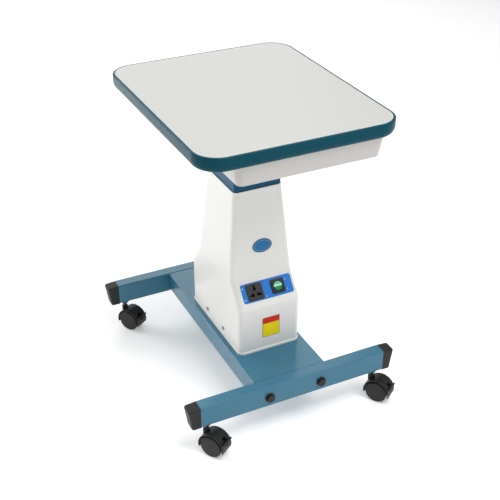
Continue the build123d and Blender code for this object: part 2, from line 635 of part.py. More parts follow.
def cover_screw(side, y):
    """A pan-head screw through the cover's side into the tab behind it."""
    head = rod(COVER_SCREW_HEAD, 0, COVER_SCREW_DOME)
    head = fillet(head.faces().sort_by(Axis.Z)[-1].edges(), COVER_SCREW_DOME * 0.4)
    shank = rod(COVER_SCREW_RADIUS, -COVER_WALL - TAB_SHEET - 2, 0)
    turn = Rot(0, 90 * side, 0)
    return Pos(side * COVER_HALF_X, COLUMN_Y + y, BEAM_TOP + COVER_SCREW_HEIGHT) * turn * (head + shank)


def outlet_socket():
    """A universal mains outlet: flange, body and three blind contact slots."""
    flange = extrude(RectangleRounded(OUTLET_SIDE, OUTLET_SIDE, OUTLET_CORNER), amount=OUTLET_FLANGE)
    flange = fillet(flange.faces().sort_by(Axis.Z)[-1].edges(), 0.6)
    body = Pos(0, 0, -OUTLET_DEPTH) * extrude(
        RectangleRounded(OUTLET_BODY, OUTLET_BODY, HOUSING_CORNER), amount=OUTLET_DEPTH + LABEL)
    socket = Pos(0, 0, LABEL) * flange + body
    floor = LABEL + OUTLET_FLANGE - OUTLET_SLOT_DEPTH
    for x, y, turn, length in OUTLET_SLOTS:
        slot = Pos(x, y) * Rot(0, 0, turn) * Rectangle(OUTLET_SLOT, length)
        socket -= Pos(0, 0, floor) * extrude(slot, amount=OUTLET_SLOT_DEPTH + 1)
    return socket


def switch_bezel():
    """The square bezel and housing that hold the rocker on its pins."""
    top = LABEL + BEZEL
    hole = ROCKER_RADIUS + ROCKER_GAP
    square = RectangleRounded(BEZEL_SIDE, BEZEL_SIDE, BEZEL_CORNER)
    flange = Pos(0, 0, LABEL) * extrude(square, amount=BEZEL)
    flange = fillet(flange.faces().sort_by(Axis.Z)[-1].edges(), 0.8)
    housing = Pos(0, 0, -BEZEL_DEPTH) * extrude(RectangleRounded(BEZEL_BODY, BEZEL_BODY, HOUSING_CORNER),
                                                amount=BEZEL_DEPTH + LABEL)
    bezel = flange + housing - rod(hole, -BEZEL_DEPTH + 3, top + 1)
    return bezel - rod_along_x(ROCKER_PIN_RADIUS + RUN, -BEZEL_BODY / 2 + 1, BEZEL_BODY / 2 - 1, 0, 0)


def switch_rocker():
    """The round rocker: a hollowed crown over a short skirt, with two pins."""
    top = LABEL + BEZEL + ROCKER_RISE
    crown = rod(ROCKER_RADIUS, -ROCKER_SKIRT, top)
    ends = ROCKER_RADIUS + 1
    dip = Polyline((-ends, top - 0.1), (0, top - ROCKER_DIP), (ends, top - 0.1), (ends, top + 1),
                   (-ends, top + 1), close=True)
    cut = extrude(Plane.YZ * make_face(dip), amount=ROCKER_RADIUS + 1, both=True)
    crown -= cut
    pins = rod_along_x(ROCKER_PIN_RADIUS, -BEZEL_BODY / 2 + 1.1, BEZEL_BODY / 2 - 1.1, 0, 0)
    return crown + pins


def control_label():
    """The printed panel under the outlet and the switch, cut out round both."""
    panel = extrude(RectangleRounded(LABEL_WIDTH, LABEL_HEIGHT, LABEL_CORNER), amount=LABEL)
    for x, side in ((OUTLET_X, OUTLET_BODY), (SWITCH_X, BEZEL_BODY)):
        panel -= Pos(x - LABEL_X, 0, 0) * Box(side + 2 * HOLE, side + 2 * HOLE, 4)
    return panel


def oval_badge():
    """A plain raised oval on the cover's front."""
    mouth_y = COVER_MOUTH_Y + COVER_LIP
    rise = COVER_HEIGHT - SHOULDER_TOP
    run = SHOULDER_HALF_Y - mouth_y
    share = (BADGE_ABOVE_BEAM - SHOULDER_TOP) / rise
    face = Plane(origin=(BADGE_X, COLUMN_Y - SHOULDER_HALF_Y + share * run, BEAM_TOP + BADGE_ABOVE_BEAM),
                 x_dir=(1, 0, 0), z_dir=(0, -rise, run))
    oval = extrude(Ellipse(BADGE_WIDTH / 2, BADGE_HEIGHT / 2), amount=BADGE)
    oval = chamfer(oval.faces().sort_by(Axis.Z)[-1].edges(), BADGE * 0.5)
    return face * oval


def make_cover():
    keep_on_column("column_cover", column_cover())
    screws = [cover_screw(side, y) for side in (-1, 1)
              for y in (-COVER_SCREW_SPREAD / 2, COVER_SCREW_SPREAD / 2)]
    keep_on_column("cover_screws", *screws)
    keep_on_column("control_label", on_shoulder(control_label(), LABEL_X))
    keep_on_column("outlet_socket", on_shoulder(outlet_socket(), OUTLET_X))
    keep_on_column("switch_bezel", on_shoulder(switch_bezel(), SWITCH_X))
    keep_on_column("switch_rocker", on_shoulder(switch_rocker(), SWITCH_X))
    front = COLUMN_Y - COVER_HALF_Y
    notice_middle = BEAM_TOP + NOTICE_ABOVE_BEAM
    notice_x = (NOTICE_X - NOTICE_WIDTH / 2, NOTICE_X + NOTICE_WIDTH / 2)
    notice_z = (notice_middle - NOTICE_HEIGHT / 2, notice_middle + NOTICE_HEIGHT / 2)
    keep_on_column("notice_plate", block(notice_x, (front - NOTICE, front), notice_z))
    keep_on_column("oval_badge", oval_badge())


# %% Lift drive inside the column
def column_base_plate():
    """The plate on the beam, with a tab folded up at each side for the cover's screws."""
    tab_x = COVER_HALF_X - COVER_WALL - SLIDE
    plate = slab(tab_x, PLATE_HALF_Y, 6, BEAM_TOP, PLATE_TOP, 0, COLUMN_Y)
    for side in (-1, 1):
        inside, outside = sorted((side * (tab_x - TAB_SHEET), side * tab_x))
        plate += block((inside, outside), (COLUMN_Y - TAB_HALF_Y, COLUMN_Y + TAB_HALF_Y),
                       (BEAM_TOP, BEAM_TOP + TAB_HEIGHT))
    for y in (-COVER_SCREW_SPREAD / 2, COVER_SCREW_SPREAD / 2):
        plate -= rod_along_x(COVER_SCREW_RADIUS + HOLE, -COVER_HALF_X, COVER_HALF_X,
                             COLUMN_Y + y, BEAM_TOP + COVER_SCREW_HEIGHT)
    for x in (-PLATE_BOLT_X, PLATE_BOLT_X):
        for y in (-PLATE_BOLT_Y, PLATE_BOLT_Y):
            plate -= rod(PLATE_BOLT_RADIUS + HOLE, BEAM_TOP - 1, PLATE_TOP + 1, x, COLUMN_Y + y)
    return plate


def base_plate_bolt(x, y):
    """A hexagon bolt through the base plate and the top of the beam, with its nut."""
    under = BEAM_TOP - BEAM_SHEET
    bolt = hexagon(2 * PLATE_BOLT_HEAD, PLATE_TOP, PLATE_TOP + PLATE_BOLT_HEAD_HEIGHT, x, COLUMN_Y + y)
    bolt += rod(PLATE_BOLT_RADIUS, under - PLATE_BOLT_HEAD, PLATE_TOP, x, COLUMN_Y + y)
    bolt += hexagon(2 * PLATE_BOLT_HEAD, under - PLATE_BOLT_HEAD_HEIGHT, under, x, COLUMN_Y + y)
    return bolt


def guide_post():
    """The fixed steel post that the mast runs on, with its foot flange."""
    post = square_tube(POST_HALF_X, POST_HALF_Y, POST_CORNER, POST_WALL, PLATE_TOP, POST_TOP, 0, COLUMN_Y)
    flange = square_tube(POST_HALF_X + POST_FLANGE_PROUD, POST_HALF_Y + POST_FLANGE_PROUD, 6,
                         POST_FLANGE_PROUD + POST_WALL, PLATE_TOP, PLATE_TOP + POST_FLANGE, 0, COLUMN_Y)
    return post + flange


def post_collar():
    """The fixed nylon collar round the head of the post, that the mast slides over."""
    outer = slab(MAST_HALF_X - MAST_WALL - SLIDE, MAST_HALF_Y - MAST_WALL - SLIDE, MAST_CORNER,
                 POST_TOP - COLLAR_HEIGHT, POST_TOP, 0, COLUMN_Y)
    return outer - slab(POST_HALF_X, POST_HALF_Y, POST_CORNER, POST_TOP - COLLAR_HEIGHT, POST_TOP,
                        0, COLUMN_Y)


def mast_collar():
    """The nylon collar in the mast's foot, notched to pass the limit switches."""
    low = MAST_FOOT + 1
    high = low + MAST_COLLAR_HEIGHT
    inner_x = POST_HALF_X + SLIDE
    inner_y = POST_HALF_Y + SLIDE
    outer = slab(MAST_HALF_X - MAST_WALL, MAST_HALF_Y - MAST_WALL, MAST_CORNER - MAST_WALL, low, high,
                 0, COLUMN_Y)
    ring = outer - slab(inner_x, inner_y, POST_CORNER, low, high, 0, COLUMN_Y)
    notch = SWITCH_STRIP_WIDTH / 2 + 3
    return ring - block((POST_HALF_X - 1, MAST_HALF_X), (COLUMN_Y - notch, COLUMN_Y + notch), (low, high))


def limit_switches():
    """Two micro switches on a strip along the side of the post."""
    face = POST_HALF_X
    thick, wide, tall = MICRO_SWITCH
    half = SWITCH_STRIP_WIDTH / 2
    low = PLATE_TOP + SWITCH_STRIP_START
    high = low + STROKE + 2 * tall
    strip = block((face, face + SWITCH_STRIP), (COLUMN_Y - half, COLUMN_Y + half), (low, high))
    for z in (low + SWITCH_STRIP_END, high - SWITCH_STRIP_END - tall):
        strip += block((face + SWITCH_STRIP, face + SWITCH_STRIP + thick),
                       (COLUMN_Y - wide / 2, COLUMN_Y + wide / 2), (z, z + tall))
    return strip


def gearbox():
    """The cast gearbox on the base plate, bored for the foot of the lead screw."""
    top = PLATE_TOP + GEARBOX_HEIGHT
    case = block((-GEARBOX_HALF_X, GEARBOX_HALF_X),
                 (COLUMN_Y + GEARBOX_Y[0], COLUMN_Y + GEARBOX_Y[1]), (PLATE_TOP, top))
    case = fillet(case.edges().filter_by(Axis.Z), GEARBOX_CORNER)
    case = fillet(case.faces().sort_by(Axis.Z)[-1].edges(), GEARBOX_EDGE)
    return case - rod(SCREW_RADIUS + RUN, top - SCREW_SEAT, top + 1, 0, DRIVE_Y)


def lift_motor():
    """The upright motor beside the drive tube."""
    low = PLATE_TOP + GEARBOX_HEIGHT
    motor = rod(MOTOR_RADIUS, low, low + MOTOR_HEIGHT, 0, COLUMN_Y + MOTOR_Y)
    motor = chamfer(motor.faces().sort_by(Axis.Z)[-1].edges(), MOTOR_CHAMFER)
    cap_radius, cap_height = MOTOR_CAP
    top = low + MOTOR_HEIGHT
    return motor + rod(cap_radius, top, top + cap_height, 0, COLUMN_Y + MOTOR_Y)


def drive_tube():
    """The fixed tube round the lead screw, with a bush for the push tube at its mouth."""
    low = PLATE_TOP + GEARBOX_HEIGHT
    bore = DRIVE_TUBE_RADIUS - DRIVE_TUBE_WALL
    tube = rod(DRIVE_TUBE_RADIUS, low, DRIVE_TUBE_TOP, 0, DRIVE_Y)
    tube -= rod(bore, low, DRIVE_TUBE_TOP - DRIVE_BUSH, 0, DRIVE_Y)
    return tube - rod(PUSH_RADIUS + RUN, low, DRIVE_TUBE_TOP, 0, DRIVE_Y)


def lift_nut():
    """The bronze nut on the lead screw, with a spigot in the push tube."""
    nut = rod(DRIVE_TUBE_RADIUS - DRIVE_TUBE_WALL - RUN, NUT_BOTTOM, NUT_BOTTOM + NUT_LENGTH, 0, DRIVE_Y)
    nut += rod(PUSH_RADIUS - PUSH_WALL, NUT_BOTTOM + NUT_LENGTH,
               NUT_BOTTOM + NUT_LENGTH + NUT_SPIGOT, 0, DRIVE_Y)
    return nut - rod(SCREW_RADIUS + RUN, NUT_BOTTOM - 1, NUT_BOTTOM + NUT_LENGTH + NUT_SPIGOT + 1,
                     0, DRIVE_Y)


def push_tube():
    """The tube that carries the lift from the nut to the head plate."""
    tube = rod(PUSH_RADIUS, NUT_BOTTOM + NUT_LENGTH, MAST_TOP, 0, DRIVE_Y)
    tube += rod(PUSH_FLANGE_RADIUS, MAST_TOP - PUSH_FLANGE, MAST_TOP, 0, DRIVE_Y)
    return tube - rod(PUSH_RADIUS - PUSH_WALL, NUT_BOTTOM + NUT_LENGTH, MAST_TOP - 8, 0, DRIVE_Y)


def mains_inlet():
    """An appliance inlet in the back of the cover: flange, shrouded mouth and three blades."""
    back = COLUMN_Y + COVER_HALF_Y
    middle = BEAM_TOP + INLET_ABOVE_BEAM
    plane = Plane(origin=(0, back, middle), x_dir=(-1, 0, 0), z_dir=(0, 1, 0))
    wide, high, thick = INLET_FLANGE
    ears = INLET_SCREW_SPREAD / 2
    outline = RectangleRounded(wide, high, INLET_CORNER)
    outline += Rectangle(INLET_SCREW_SPREAD, 2 * INLET_EAR_RADIUS)
    outline += Pos(ears, 0) * Circle(INLET_EAR_RADIUS)
    outline += Pos(-ears, 0) * Circle(INLET_EAR_RADIUS)
    inlet = extrude(outline, amount=thick)
    body_wide, body_high, body_deep = INLET_BODY
    inlet += extrude(RectangleRounded(body_wide, body_high, INLET_CORNER), amount=-body_deep)
    mouth_wide, mouth_high, mouth_deep = INLET_MOUTH
    inlet -= Pos(0, 0, thick) * extrude(Rectangle(mouth_wide, mouth_high), amount=-mouth_deep)
    blade_wide, blade_high, blade_long = INLET_BLADE
    for x, y in ((-INLET_BLADE_SPREAD / 2, 1.5), (INLET_BLADE_SPREAD / 2, 1.5), (0, 5.0)):
        foot = thick - mouth_deep
        inlet += Pos(x, y, foot + blade_long / 2) * Box(blade_wide, blade_high, blade_long)
    return plane * inlet


def make_drive():
    keep_on_column("column_base_plate", column_base_plate())
    bolts = [base_plate_bolt(x, y) for x in (-PLATE_BOLT_X, PLATE_BOLT_X)
             for y in (-PLATE_BOLT_Y, PLATE_BOLT_Y)]
    keep_on_column("base_plate_bolts", *bolts)
    keep_on_column("guide_post", guide_post())
    keep_on_column("post_collar", post_collar())
    keep_on_column("mast_collar", mast_collar())
    keep_on_column("limit_switches", limit_switches())
    keep_on_column("gearbox", gearbox())
    keep_on_column("lift_motor", lift_motor())
    keep_on_column("drive_tube", drive_tube())
    screw_foot = PLATE_TOP + GEARBOX_HEIGHT - SCREW_SEAT + RUN
    keep_on_column("lead_screw", rod(SCREW_RADIUS, screw_foot, SCREW_TOP, 0, DRIVE_Y))
    keep_on_column("lift_nut", lift_nut())
    keep_on_column("push_tube", push_tube())
    wide, deep, tall = CONTROL_BOX
    front = COLUMN_Y - COVER_HALF_Y + COVER_WALL + BOX_GAP
    box = block((-wide / 2, wide / 2), (front, front + deep), (PLATE_TOP, PLATE_TOP + tall))
    keep_on_column("control_box", fillet(box.edges().filter_by(Axis.Z), 3))
    wide, deep, tall = TRANSFORMER
    back = COLUMN_Y + COVER_HALF_Y - COVER_WALL - BOX_GAP
    core = block((-wide / 2, wide / 2), (back - deep, back), (PLATE_TOP, PLATE_TOP + tall / 2))
    winding = block((6 - wide / 2, wide / 2 - 6), (back - deep + 4, back - 4),
                    (PLATE_TOP + tall / 2, PLATE_TOP + tall * 0.6))
    keep_on_column("transformer", core + winding)
    keep_on_column("mains_inlet", mains_inlet())


# %% Mast, head plate and top
def head_screw_places():
    """The wood screws' places, from the column's axis and the middle of the top."""
    x = HEAD_HALF_X - HEAD_SCREW_INSET
    y = HEAD_HALF_Y - HEAD_SCREW_INSET
    return [(side * x, TOP_Y + step * y) for side in (-1, 1) for step in (-1, 0, 1)]


def make_mast():
    mast = square_tube(MAST_HALF_X, MAST_HALF_Y, MAST_CORNER, MAST_WALL, MAST_FOOT, MAST_TOP,
                       0, COLUMN_Y)
    keep_on_column("lift_mast", mast)
    plate = slab(HEAD_HALF_X, HEAD_HALF_Y, HEAD_CORNER, MAST_TOP, TOP_UNDERSIDE, 0, TOP_Y)
    for x, y in head_screw_places():
        plate -= rod(HEAD_SCREW_RADIUS + HOLE, MAST_TOP - 1, TOP_UNDERSIDE + 1, x, y)
    gussets = [side_rib(side, COLUMN_Y + y) for side in (-1, 1) for y in (-RIB_SPREAD / 2, RIB_SPREAD / 2)]
    gussets += [back_rib(x) for x in (-RIB_SPREAD / 3, RIB_SPREAD / 3)]
    keep_on_column("head_plate", plate, *gussets)
    keep_on_column("head_screws", *[head_screw(x, y) for x, y in head_screw_places()])


def side_rib(side, y):
    """A gusset between the mast's side and the head plate."""
    root = MAST_HALF_X
    outline = Polyline((root, MAST_TOP), (root + RIB_REACH, MAST_TOP),
                       (root + RIB_REACH, MAST_TOP - RIB_TOE), (root + RIB_TOE, MAST_TOP - RIB_DROP),
                       (root, MAST_TOP - RIB_DROP), close=True)
    plane = Plane(origin=(0, y + RIB / 2, 0), x_dir=(1, 0, 0), z_dir=(0, -1, 0))
    rib = extrude(plane * make_face(outline), amount=RIB)
    return rib if side > 0 else mirror(rib, about=Plane.YZ)


def back_rib(x):
    """A gusset between the mast's back and the head plate."""
    root = COLUMN_Y + MAST_HALF_Y
    outline = Polyline((root, MAST_TOP), (root + RIB_REACH, MAST_TOP),
                       (root + RIB_REACH, MAST_TOP - RIB_TOE), (root + RIB_TOE, MAST_TOP - RIB_DROP),
                       (root, MAST_TOP - RIB_DROP), close=True)
    plane = Plane(origin=(x - RIB / 2, 0, 0), x_dir=(0, 1, 0), z_dir=(1, 0, 0))
    return extrude(plane * make_face(outline), amount=RIB)


def head_screw(x, y):
    """A wood screw up through the head plate into the board."""
    head = rod(2 * HEAD_SCREW_RADIUS, MAST_TOP - HEAD_SCREW_DOME, MAST_TOP, x, y)
    head = fillet(head.faces().sort_by(Axis.Z)[0].edges(), HEAD_SCREW_DOME * 0.45)
    return head + rod(HEAD_SCREW_RADIUS, MAST_TOP, TOP_UNDERSIDE + HEAD_SCREW_LENGTH, x, y)


def edge_band():
    """The moulded edge: one section run along the sides and turned round the corners."""
    centre_x = TOP_WIDTH / 2 - TOP_CORNER
    centre_y = TOP_DEPTH / 2 - TOP_CORNER
    board = TOP_CORNER - BAND_DEPTH
    widest = TOP_CORNER
    lip_in = widest - BAND_LIP
    inward, upward = BAND_UNDER
    sheet = TOP_HEIGHT - LAMINATE
    rise = TOP_UNDERSIDE + upward
    under = EllipticalCenterArc((widest - inward, rise), inward, upward, 270, arc_size=90)
    rest = Polyline((widest, rise), (widest, TOP_HEIGHT), (lip_in, TOP_HEIGHT), (lip_in, sheet),
                    (board, sheet), (board, TOP_UNDERSIDE), (widest - inward, TOP_UNDERSIDE))
    face = make_face(under.edges() + rest.edges())
    crest = face.vertices().filter_by(lambda v: v.Y > TOP_HEIGHT - 0.1 and v.X > widest - 0.1)
    face = fillet(crest, BAND_ROUND)
    upright = Plane(origin=(0, 0, 0), x_dir=(1, 0, 0), z_dir=(0, -1, 0))
    standing = upright * face
    quarter = revolve(standing, axis=Axis.Z, revolution_arc=90)
    pieces = []
    for x_side, y_side, turn in ((1, 1, 0), (-1, 1, 90), (-1, -1, 180), (1, -1, 270)):
        pieces.append(Pos(x_side * centre_x, y_side * centre_y, 0) * Rot(0, 0, turn) * quarter)
    along_y = Pos(centre_x, centre_y, 0) * extrude(standing, amount=2 * centre_y)
    along_x = Pos(-centre_x, centre_y, 0) * Rot(0, 0, 90) * extrude(standing, amount=2 * centre_x)
    for turn in (0, 180):
        pieces.append(Rot(0, 0, turn) * along_y)
        pieces.append(Rot(0, 0, turn) * along_x)
    band = pieces[0]
    for piece in pieces[1:]:
        band += piece
    return Pos(0, TOP_Y, 0) * band


def make_top():
    board = slab(TOP_WIDTH / 2 - BAND_DEPTH, TOP_DEPTH / 2 - BAND_DEPTH, TOP_CORNER - BAND_DEPTH,
                 TOP_UNDERSIDE, TOP_HEIGHT - LAMINATE, 0, TOP_Y)
    for x, y in head_screw_places():
        board -= rod(HEAD_SCREW_RADIUS + RUN, TOP_UNDERSIDE, TOP_UNDERSIDE + HEAD_SCREW_LENGTH + 1,
                     COLUMN_X + x, y)
    keep("table_board", board)
    keep("table_laminate", slab(TOP_WIDTH / 2 - BAND_LIP, TOP_DEPTH / 2 - BAND_LIP, TOP_CORNER - BAND_LIP,
                                TOP_HEIGHT - LAMINATE, TOP_HEIGHT, 0, TOP_Y))
    keep("edge_band", edge_band())


# %% Drawer and rails
def drawer_shell(inset, low, high):
    """A drafted tray body, drawn in by an inset on every side."""
    floor_x = DRAWER_WIDTH / 2 - inset
    floor_y = DRAWER_DEPTH / 2 - inset
    grow = DRAWER_DRAFT * (high - low) / DRAWER_HEIGHT
    corner = DRAWER_CORNER - inset
    bottom = Pos(DRAWER_X, DRAWER_Y, low) * RectangleRounded(2 * floor_x, 2 * floor_y, corner)
    top = Pos(DRAWER_X, DRAWER_Y, high) * RectangleRounded(
        2 * (floor_x + grow), 2 * (floor_y + grow), corner + grow)
    return loft([bottom, top], ruled=True)


def drawer():
    """A shallow moulded tray with drafted walls, side flanges and a raised front."""
    tray = drawer_shell(0, DRAWER_FLOOR, DRAWER_TOP)
    tray = fillet(tray.faces().sort_by(Axis.Z)[0].edges(), DRAWER_FLOOR_ROUND)
    front_top = TOP_UNDERSIDE - FRONT_GAP
    raised = drawer_shell(0, DRAWER_FLOOR, front_top)
    front_line = DRAWER_FRONT + DRAWER_CORNER
    wide = DRAWER_WIDTH / 2 + 20
    keep_front = block((DRAWER_X - wide, DRAWER_X + wide), (DRAWER_FRONT - 20, front_line),
                       (DRAWER_TOP, front_top))
    tray += raised & keep_front
    flange_low = DRAWER_TOP - DRAWER_WALL
    flange_x = DRAWER_WIDTH / 2 + DRAWER_DRAFT + DRAWER_FLANGE
    tray += block((DRAWER_X - flange_x, DRAWER_X + flange_x),
                  (front_line + DRAWER_FLANGE_START, DRAWER_Y + DRAWER_DEPTH / 2),
                  (flange_low, DRAWER_TOP))
    hollow = drawer_shell(DRAWER_WALL, DRAWER_FLOOR + DRAWER_WALL, front_top + 5)
    return tray - hollow


def drawer_rails():
    """Two folded rails screwed under the board, with a lip under each drawer flange."""
    edge = DRAWER_WIDTH / 2 + DRAWER_DRAFT + DRAWER_FLANGE + 2 * SLIDE
    lip_top = DRAWER_TOP - DRAWER_WALL - SLIDE
    start = DRAWER_FRONT + DRAWER_CORNER + DRAWER_FLANGE_START
    end = DRAWER_Y + DRAWER_DEPTH / 2 + 2
    rails = []
    for side in (-1, 1):
        points = [(edge, lip_top), (edge - DRAWER_FLANGE + 2, lip_top),
                  (edge - DRAWER_FLANGE + 2, lip_top - RAIL_SHEET),
                  (edge + RAIL_SHEET, lip_top - RAIL_SHEET),
                  (edge + RAIL_SHEET, TOP_UNDERSIDE - RAIL_SHEET),
                  (edge + RAIL_FOOT, TOP_UNDERSIDE - RAIL_SHEET), (edge + RAIL_FOOT, TOP_UNDERSIDE),
                  (edge, TOP_UNDERSIDE)]
        placed = [(DRAWER_X + side * x, z) for x, z in points]
        plane = Plane(origin=(0, end, 0), x_dir=(1, 0, 0), z_dir=(0, -1, 0))
        rails.append(extrude(plane * make_face(Polyline(*placed, close=True)), amount=end - start))
    return rails


def make_drawer():
    keep("drawer", drawer())
    keep("drawer_rails", *drawer_rails())


# %% Build and write
make_base()
make_casters()
make_cover()
make_drive()
make_mast()
make_top()
make_drawer()
os.makedirs("parts", exist_ok=True)
for node_name, node_shape in PARTS.items():
    export_step(node_shape, f"parts/{node_name}.step")
print(len(PARTS), "nodes")
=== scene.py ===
# %% [markdown]
# # A motor-driven instrument lift table
#
# The mechanical model comes in as a fixed frame: every node already has its real size and place.
# This lesson gives each surface its finish, and makes the pieces that need finer work than a
# machined solid has: the moulded edge, screws, bolts, threads, switch and printed marks.

# %% Start with the frame
from math import cos, hypot, pi, radians, sin

import bpy
import bmesh
from mathutils import Matrix, Vector


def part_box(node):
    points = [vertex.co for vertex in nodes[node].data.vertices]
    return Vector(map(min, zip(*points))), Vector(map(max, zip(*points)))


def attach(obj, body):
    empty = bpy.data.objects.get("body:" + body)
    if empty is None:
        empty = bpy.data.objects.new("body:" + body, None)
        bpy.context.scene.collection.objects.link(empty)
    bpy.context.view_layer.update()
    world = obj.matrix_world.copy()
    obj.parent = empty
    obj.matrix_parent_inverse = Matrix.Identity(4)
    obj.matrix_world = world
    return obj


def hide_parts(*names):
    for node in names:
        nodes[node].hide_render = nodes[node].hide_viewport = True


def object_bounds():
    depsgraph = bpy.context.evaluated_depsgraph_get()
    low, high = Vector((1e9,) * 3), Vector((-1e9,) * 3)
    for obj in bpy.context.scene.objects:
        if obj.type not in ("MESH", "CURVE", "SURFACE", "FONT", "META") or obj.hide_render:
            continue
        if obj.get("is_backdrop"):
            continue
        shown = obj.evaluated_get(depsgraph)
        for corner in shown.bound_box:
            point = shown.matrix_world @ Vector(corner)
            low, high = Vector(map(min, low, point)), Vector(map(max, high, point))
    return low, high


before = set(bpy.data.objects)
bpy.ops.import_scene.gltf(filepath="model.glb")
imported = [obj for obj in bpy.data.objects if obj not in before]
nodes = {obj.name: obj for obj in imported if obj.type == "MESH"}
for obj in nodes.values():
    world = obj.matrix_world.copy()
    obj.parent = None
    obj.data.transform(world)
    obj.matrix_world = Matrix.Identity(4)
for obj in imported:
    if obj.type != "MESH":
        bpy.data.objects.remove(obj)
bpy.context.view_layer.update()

MM = 0.001

# %% [markdown]
# ## Camera, floor and light
#
# The camera is placed where the view was worked out: 26 degrees to the left of the front,
# 31 degrees above the horizon, with a lens a little longer than normal. A long lens far away keeps
# the verticals nearly parallel.

# %% Camera
def add(name, data):
    """A new object in the scene."""
    thing = bpy.data.objects.new(name, data)
    bpy.context.scene.collection.objects.link(thing)
    return thing


def add_looking(name, data, place, way):
    """A camera or a light at a place, looking one way."""
    thing = add(name, data)
    thing.location = place
    thing.rotation_mode = "QUATERNION"
    thing.rotation_quaternion = way.to_track_quat("-Z", "Y")
    return thing


look_left, look_down = radians(-26.0), radians(31.27)
back = Vector((sin(look_left) * cos(look_down), -cos(look_left) * cos(look_down), sin(look_down)))
lens = bpy.data.cameras.new("view")
lens.sensor_width = 36.0
lens.lens = 68.83
lens.clip_start, lens.clip_end = 0.05, 60.0
camera = add_looking("view", lens, (-0.78288, -1.63236, 1.40831), -back)
bpy.context.scene.camera = camera
print("camera", [round(v, 3) for v in camera.location])

# %% [markdown]
# Soft boxes stand in for the studio. A low one behind on the left lights the floor there, which the
# left sides of the painted parts mirror. The largest share comes from above the front, so that level
# faces are brighter than upright ones. One behind gives the tops their sheen, a small one in front on
# the right draws bright lines along the rounded edges, a low one fills in below, and the white world
# does the rest.

# %% Lights
def soft_box(name, place, aim, size, watts):
    """A square area light at a place, facing a point."""
    data = bpy.data.lights.new(name, "AREA")
    data.size = size
    data.energy = watts
    add_looking(name, data, place, Vector(aim) - Vector(place))


middle = (0.0, 0.0, 0.35)
low_front = (0.0, -0.2, 0.1)
soft_box("back_left", (-1.6, 2.0, 1.1), (-0.6, 0.9, 0.0), 1.2, 30)
soft_box("left", (-2.9, -0.3, 1.5), middle, 1.6, 4)
soft_box("over_front", (0.3, -1.2, 3.0), low_front, 1.2, 37)
soft_box("back", (0.7, 2.6, 1.9), low_front, 2.2, 24)
soft_box("front_right", (1.15, -1.6, 2.4), middle, 0.6, 13)
soft_box("low_front", (0.8, -2.4, 0.35), (0.1, -0.2, 0.15), 1.0, 2.5)
world = bpy.data.worlds.new("studio")
world.use_nodes = True
sky = world.node_tree.nodes["Background"]
sky.inputs["Color"].default_value = (1.0, 1.0, 1.0, 1.0)
sky.inputs["Strength"].default_value = 0.41
bpy.context.scene.world = world
bpy.context.scene.view_settings.view_transform = "Standard"

# %% [markdown]
# ## Nodes as arithmetic
#
# A procedural finish is mostly small sums on numbers: a noise times a strength, plus a base. Python
# can write those sums directly if a socket knows how to add and multiply, so one small class wraps a
# socket. Every other node comes from one method that takes its type, its inputs and its settings.
# The same two ideas serve a material's tree and a Geometry Nodes tree.

# %% A socket that does arithmetic
class Value:
    """What comes out of a node's socket; sums on it add Math nodes."""

    def __init__(self, graph, socket):
        self.graph = graph
        self.socket = socket

    def _sum(self, operation, first, second):
        return self.graph.node("ShaderNodeMath", {0: first, 1: second}, operation=operation)

    def __add__(self, other): return self._sum("ADD", self, other)
    def __radd__(self, other): return self._sum("ADD", other, self)
    def __sub__(self, other): return self._sum("SUBTRACT", self, other)
    def __rsub__(self, other): return self._sum("SUBTRACT", other, self)
    def __mul__(self, other): return self._sum("MULTIPLY", self, other)
    def __truediv__(self, other): return self._sum("DIVIDE", self, other)
    def __gt__(self, other): return self._sum("GREATER_THAN", self, other)
    def __lt__(self, other): return self._sum("LESS_THAN", self, other)
    def __abs__(self): return self._sum("ABSOLUTE", self, 0.0)


# %% A tree that grows node by node
class Graph:
    """Adds nodes to one tree and joins their sockets."""

    def __init__(self, tree):
        self.tree = tree

    def join(self, socket, value):
        """Put a number, a link or several links on a socket."""
        if isinstance(value, list):
            for one in value:
                self.join(socket, one)
        elif isinstance(value, Value):
            self.tree.links.new(value.socket, socket)
        else:
            socket.default_value = value

    def node(self, kind, sockets, output=0, **settings):
        """Any node: its type, the values or links of its sockets, and its settings."""
        made = self.tree.nodes.new(kind)
        for name, value in settings.items():
            setattr(made, name, value)
        for name, value in sockets.items():
            self.join(made.inputs[name], value)
        return Value(self, made.outputs[output])


# %% Colours
def paint(red, green, blue):
    """A colour picked on a screen, 0 to 255, as the linear light a shader works with."""
    shades = []
    for part in (red, green, blue):
        part = part / 255
        shades.append(part / 12.92 if part <= 0.04045 else ((part + 0.055) / 1.055) ** 2.4)
    return tuple(shades)


def toned(colour, share):
    """The same colour, darker or lighter."""
    return tuple(part * share for part in colour)


print("white paint is", [round(v, 3) for v in paint(235, 235, 232)])


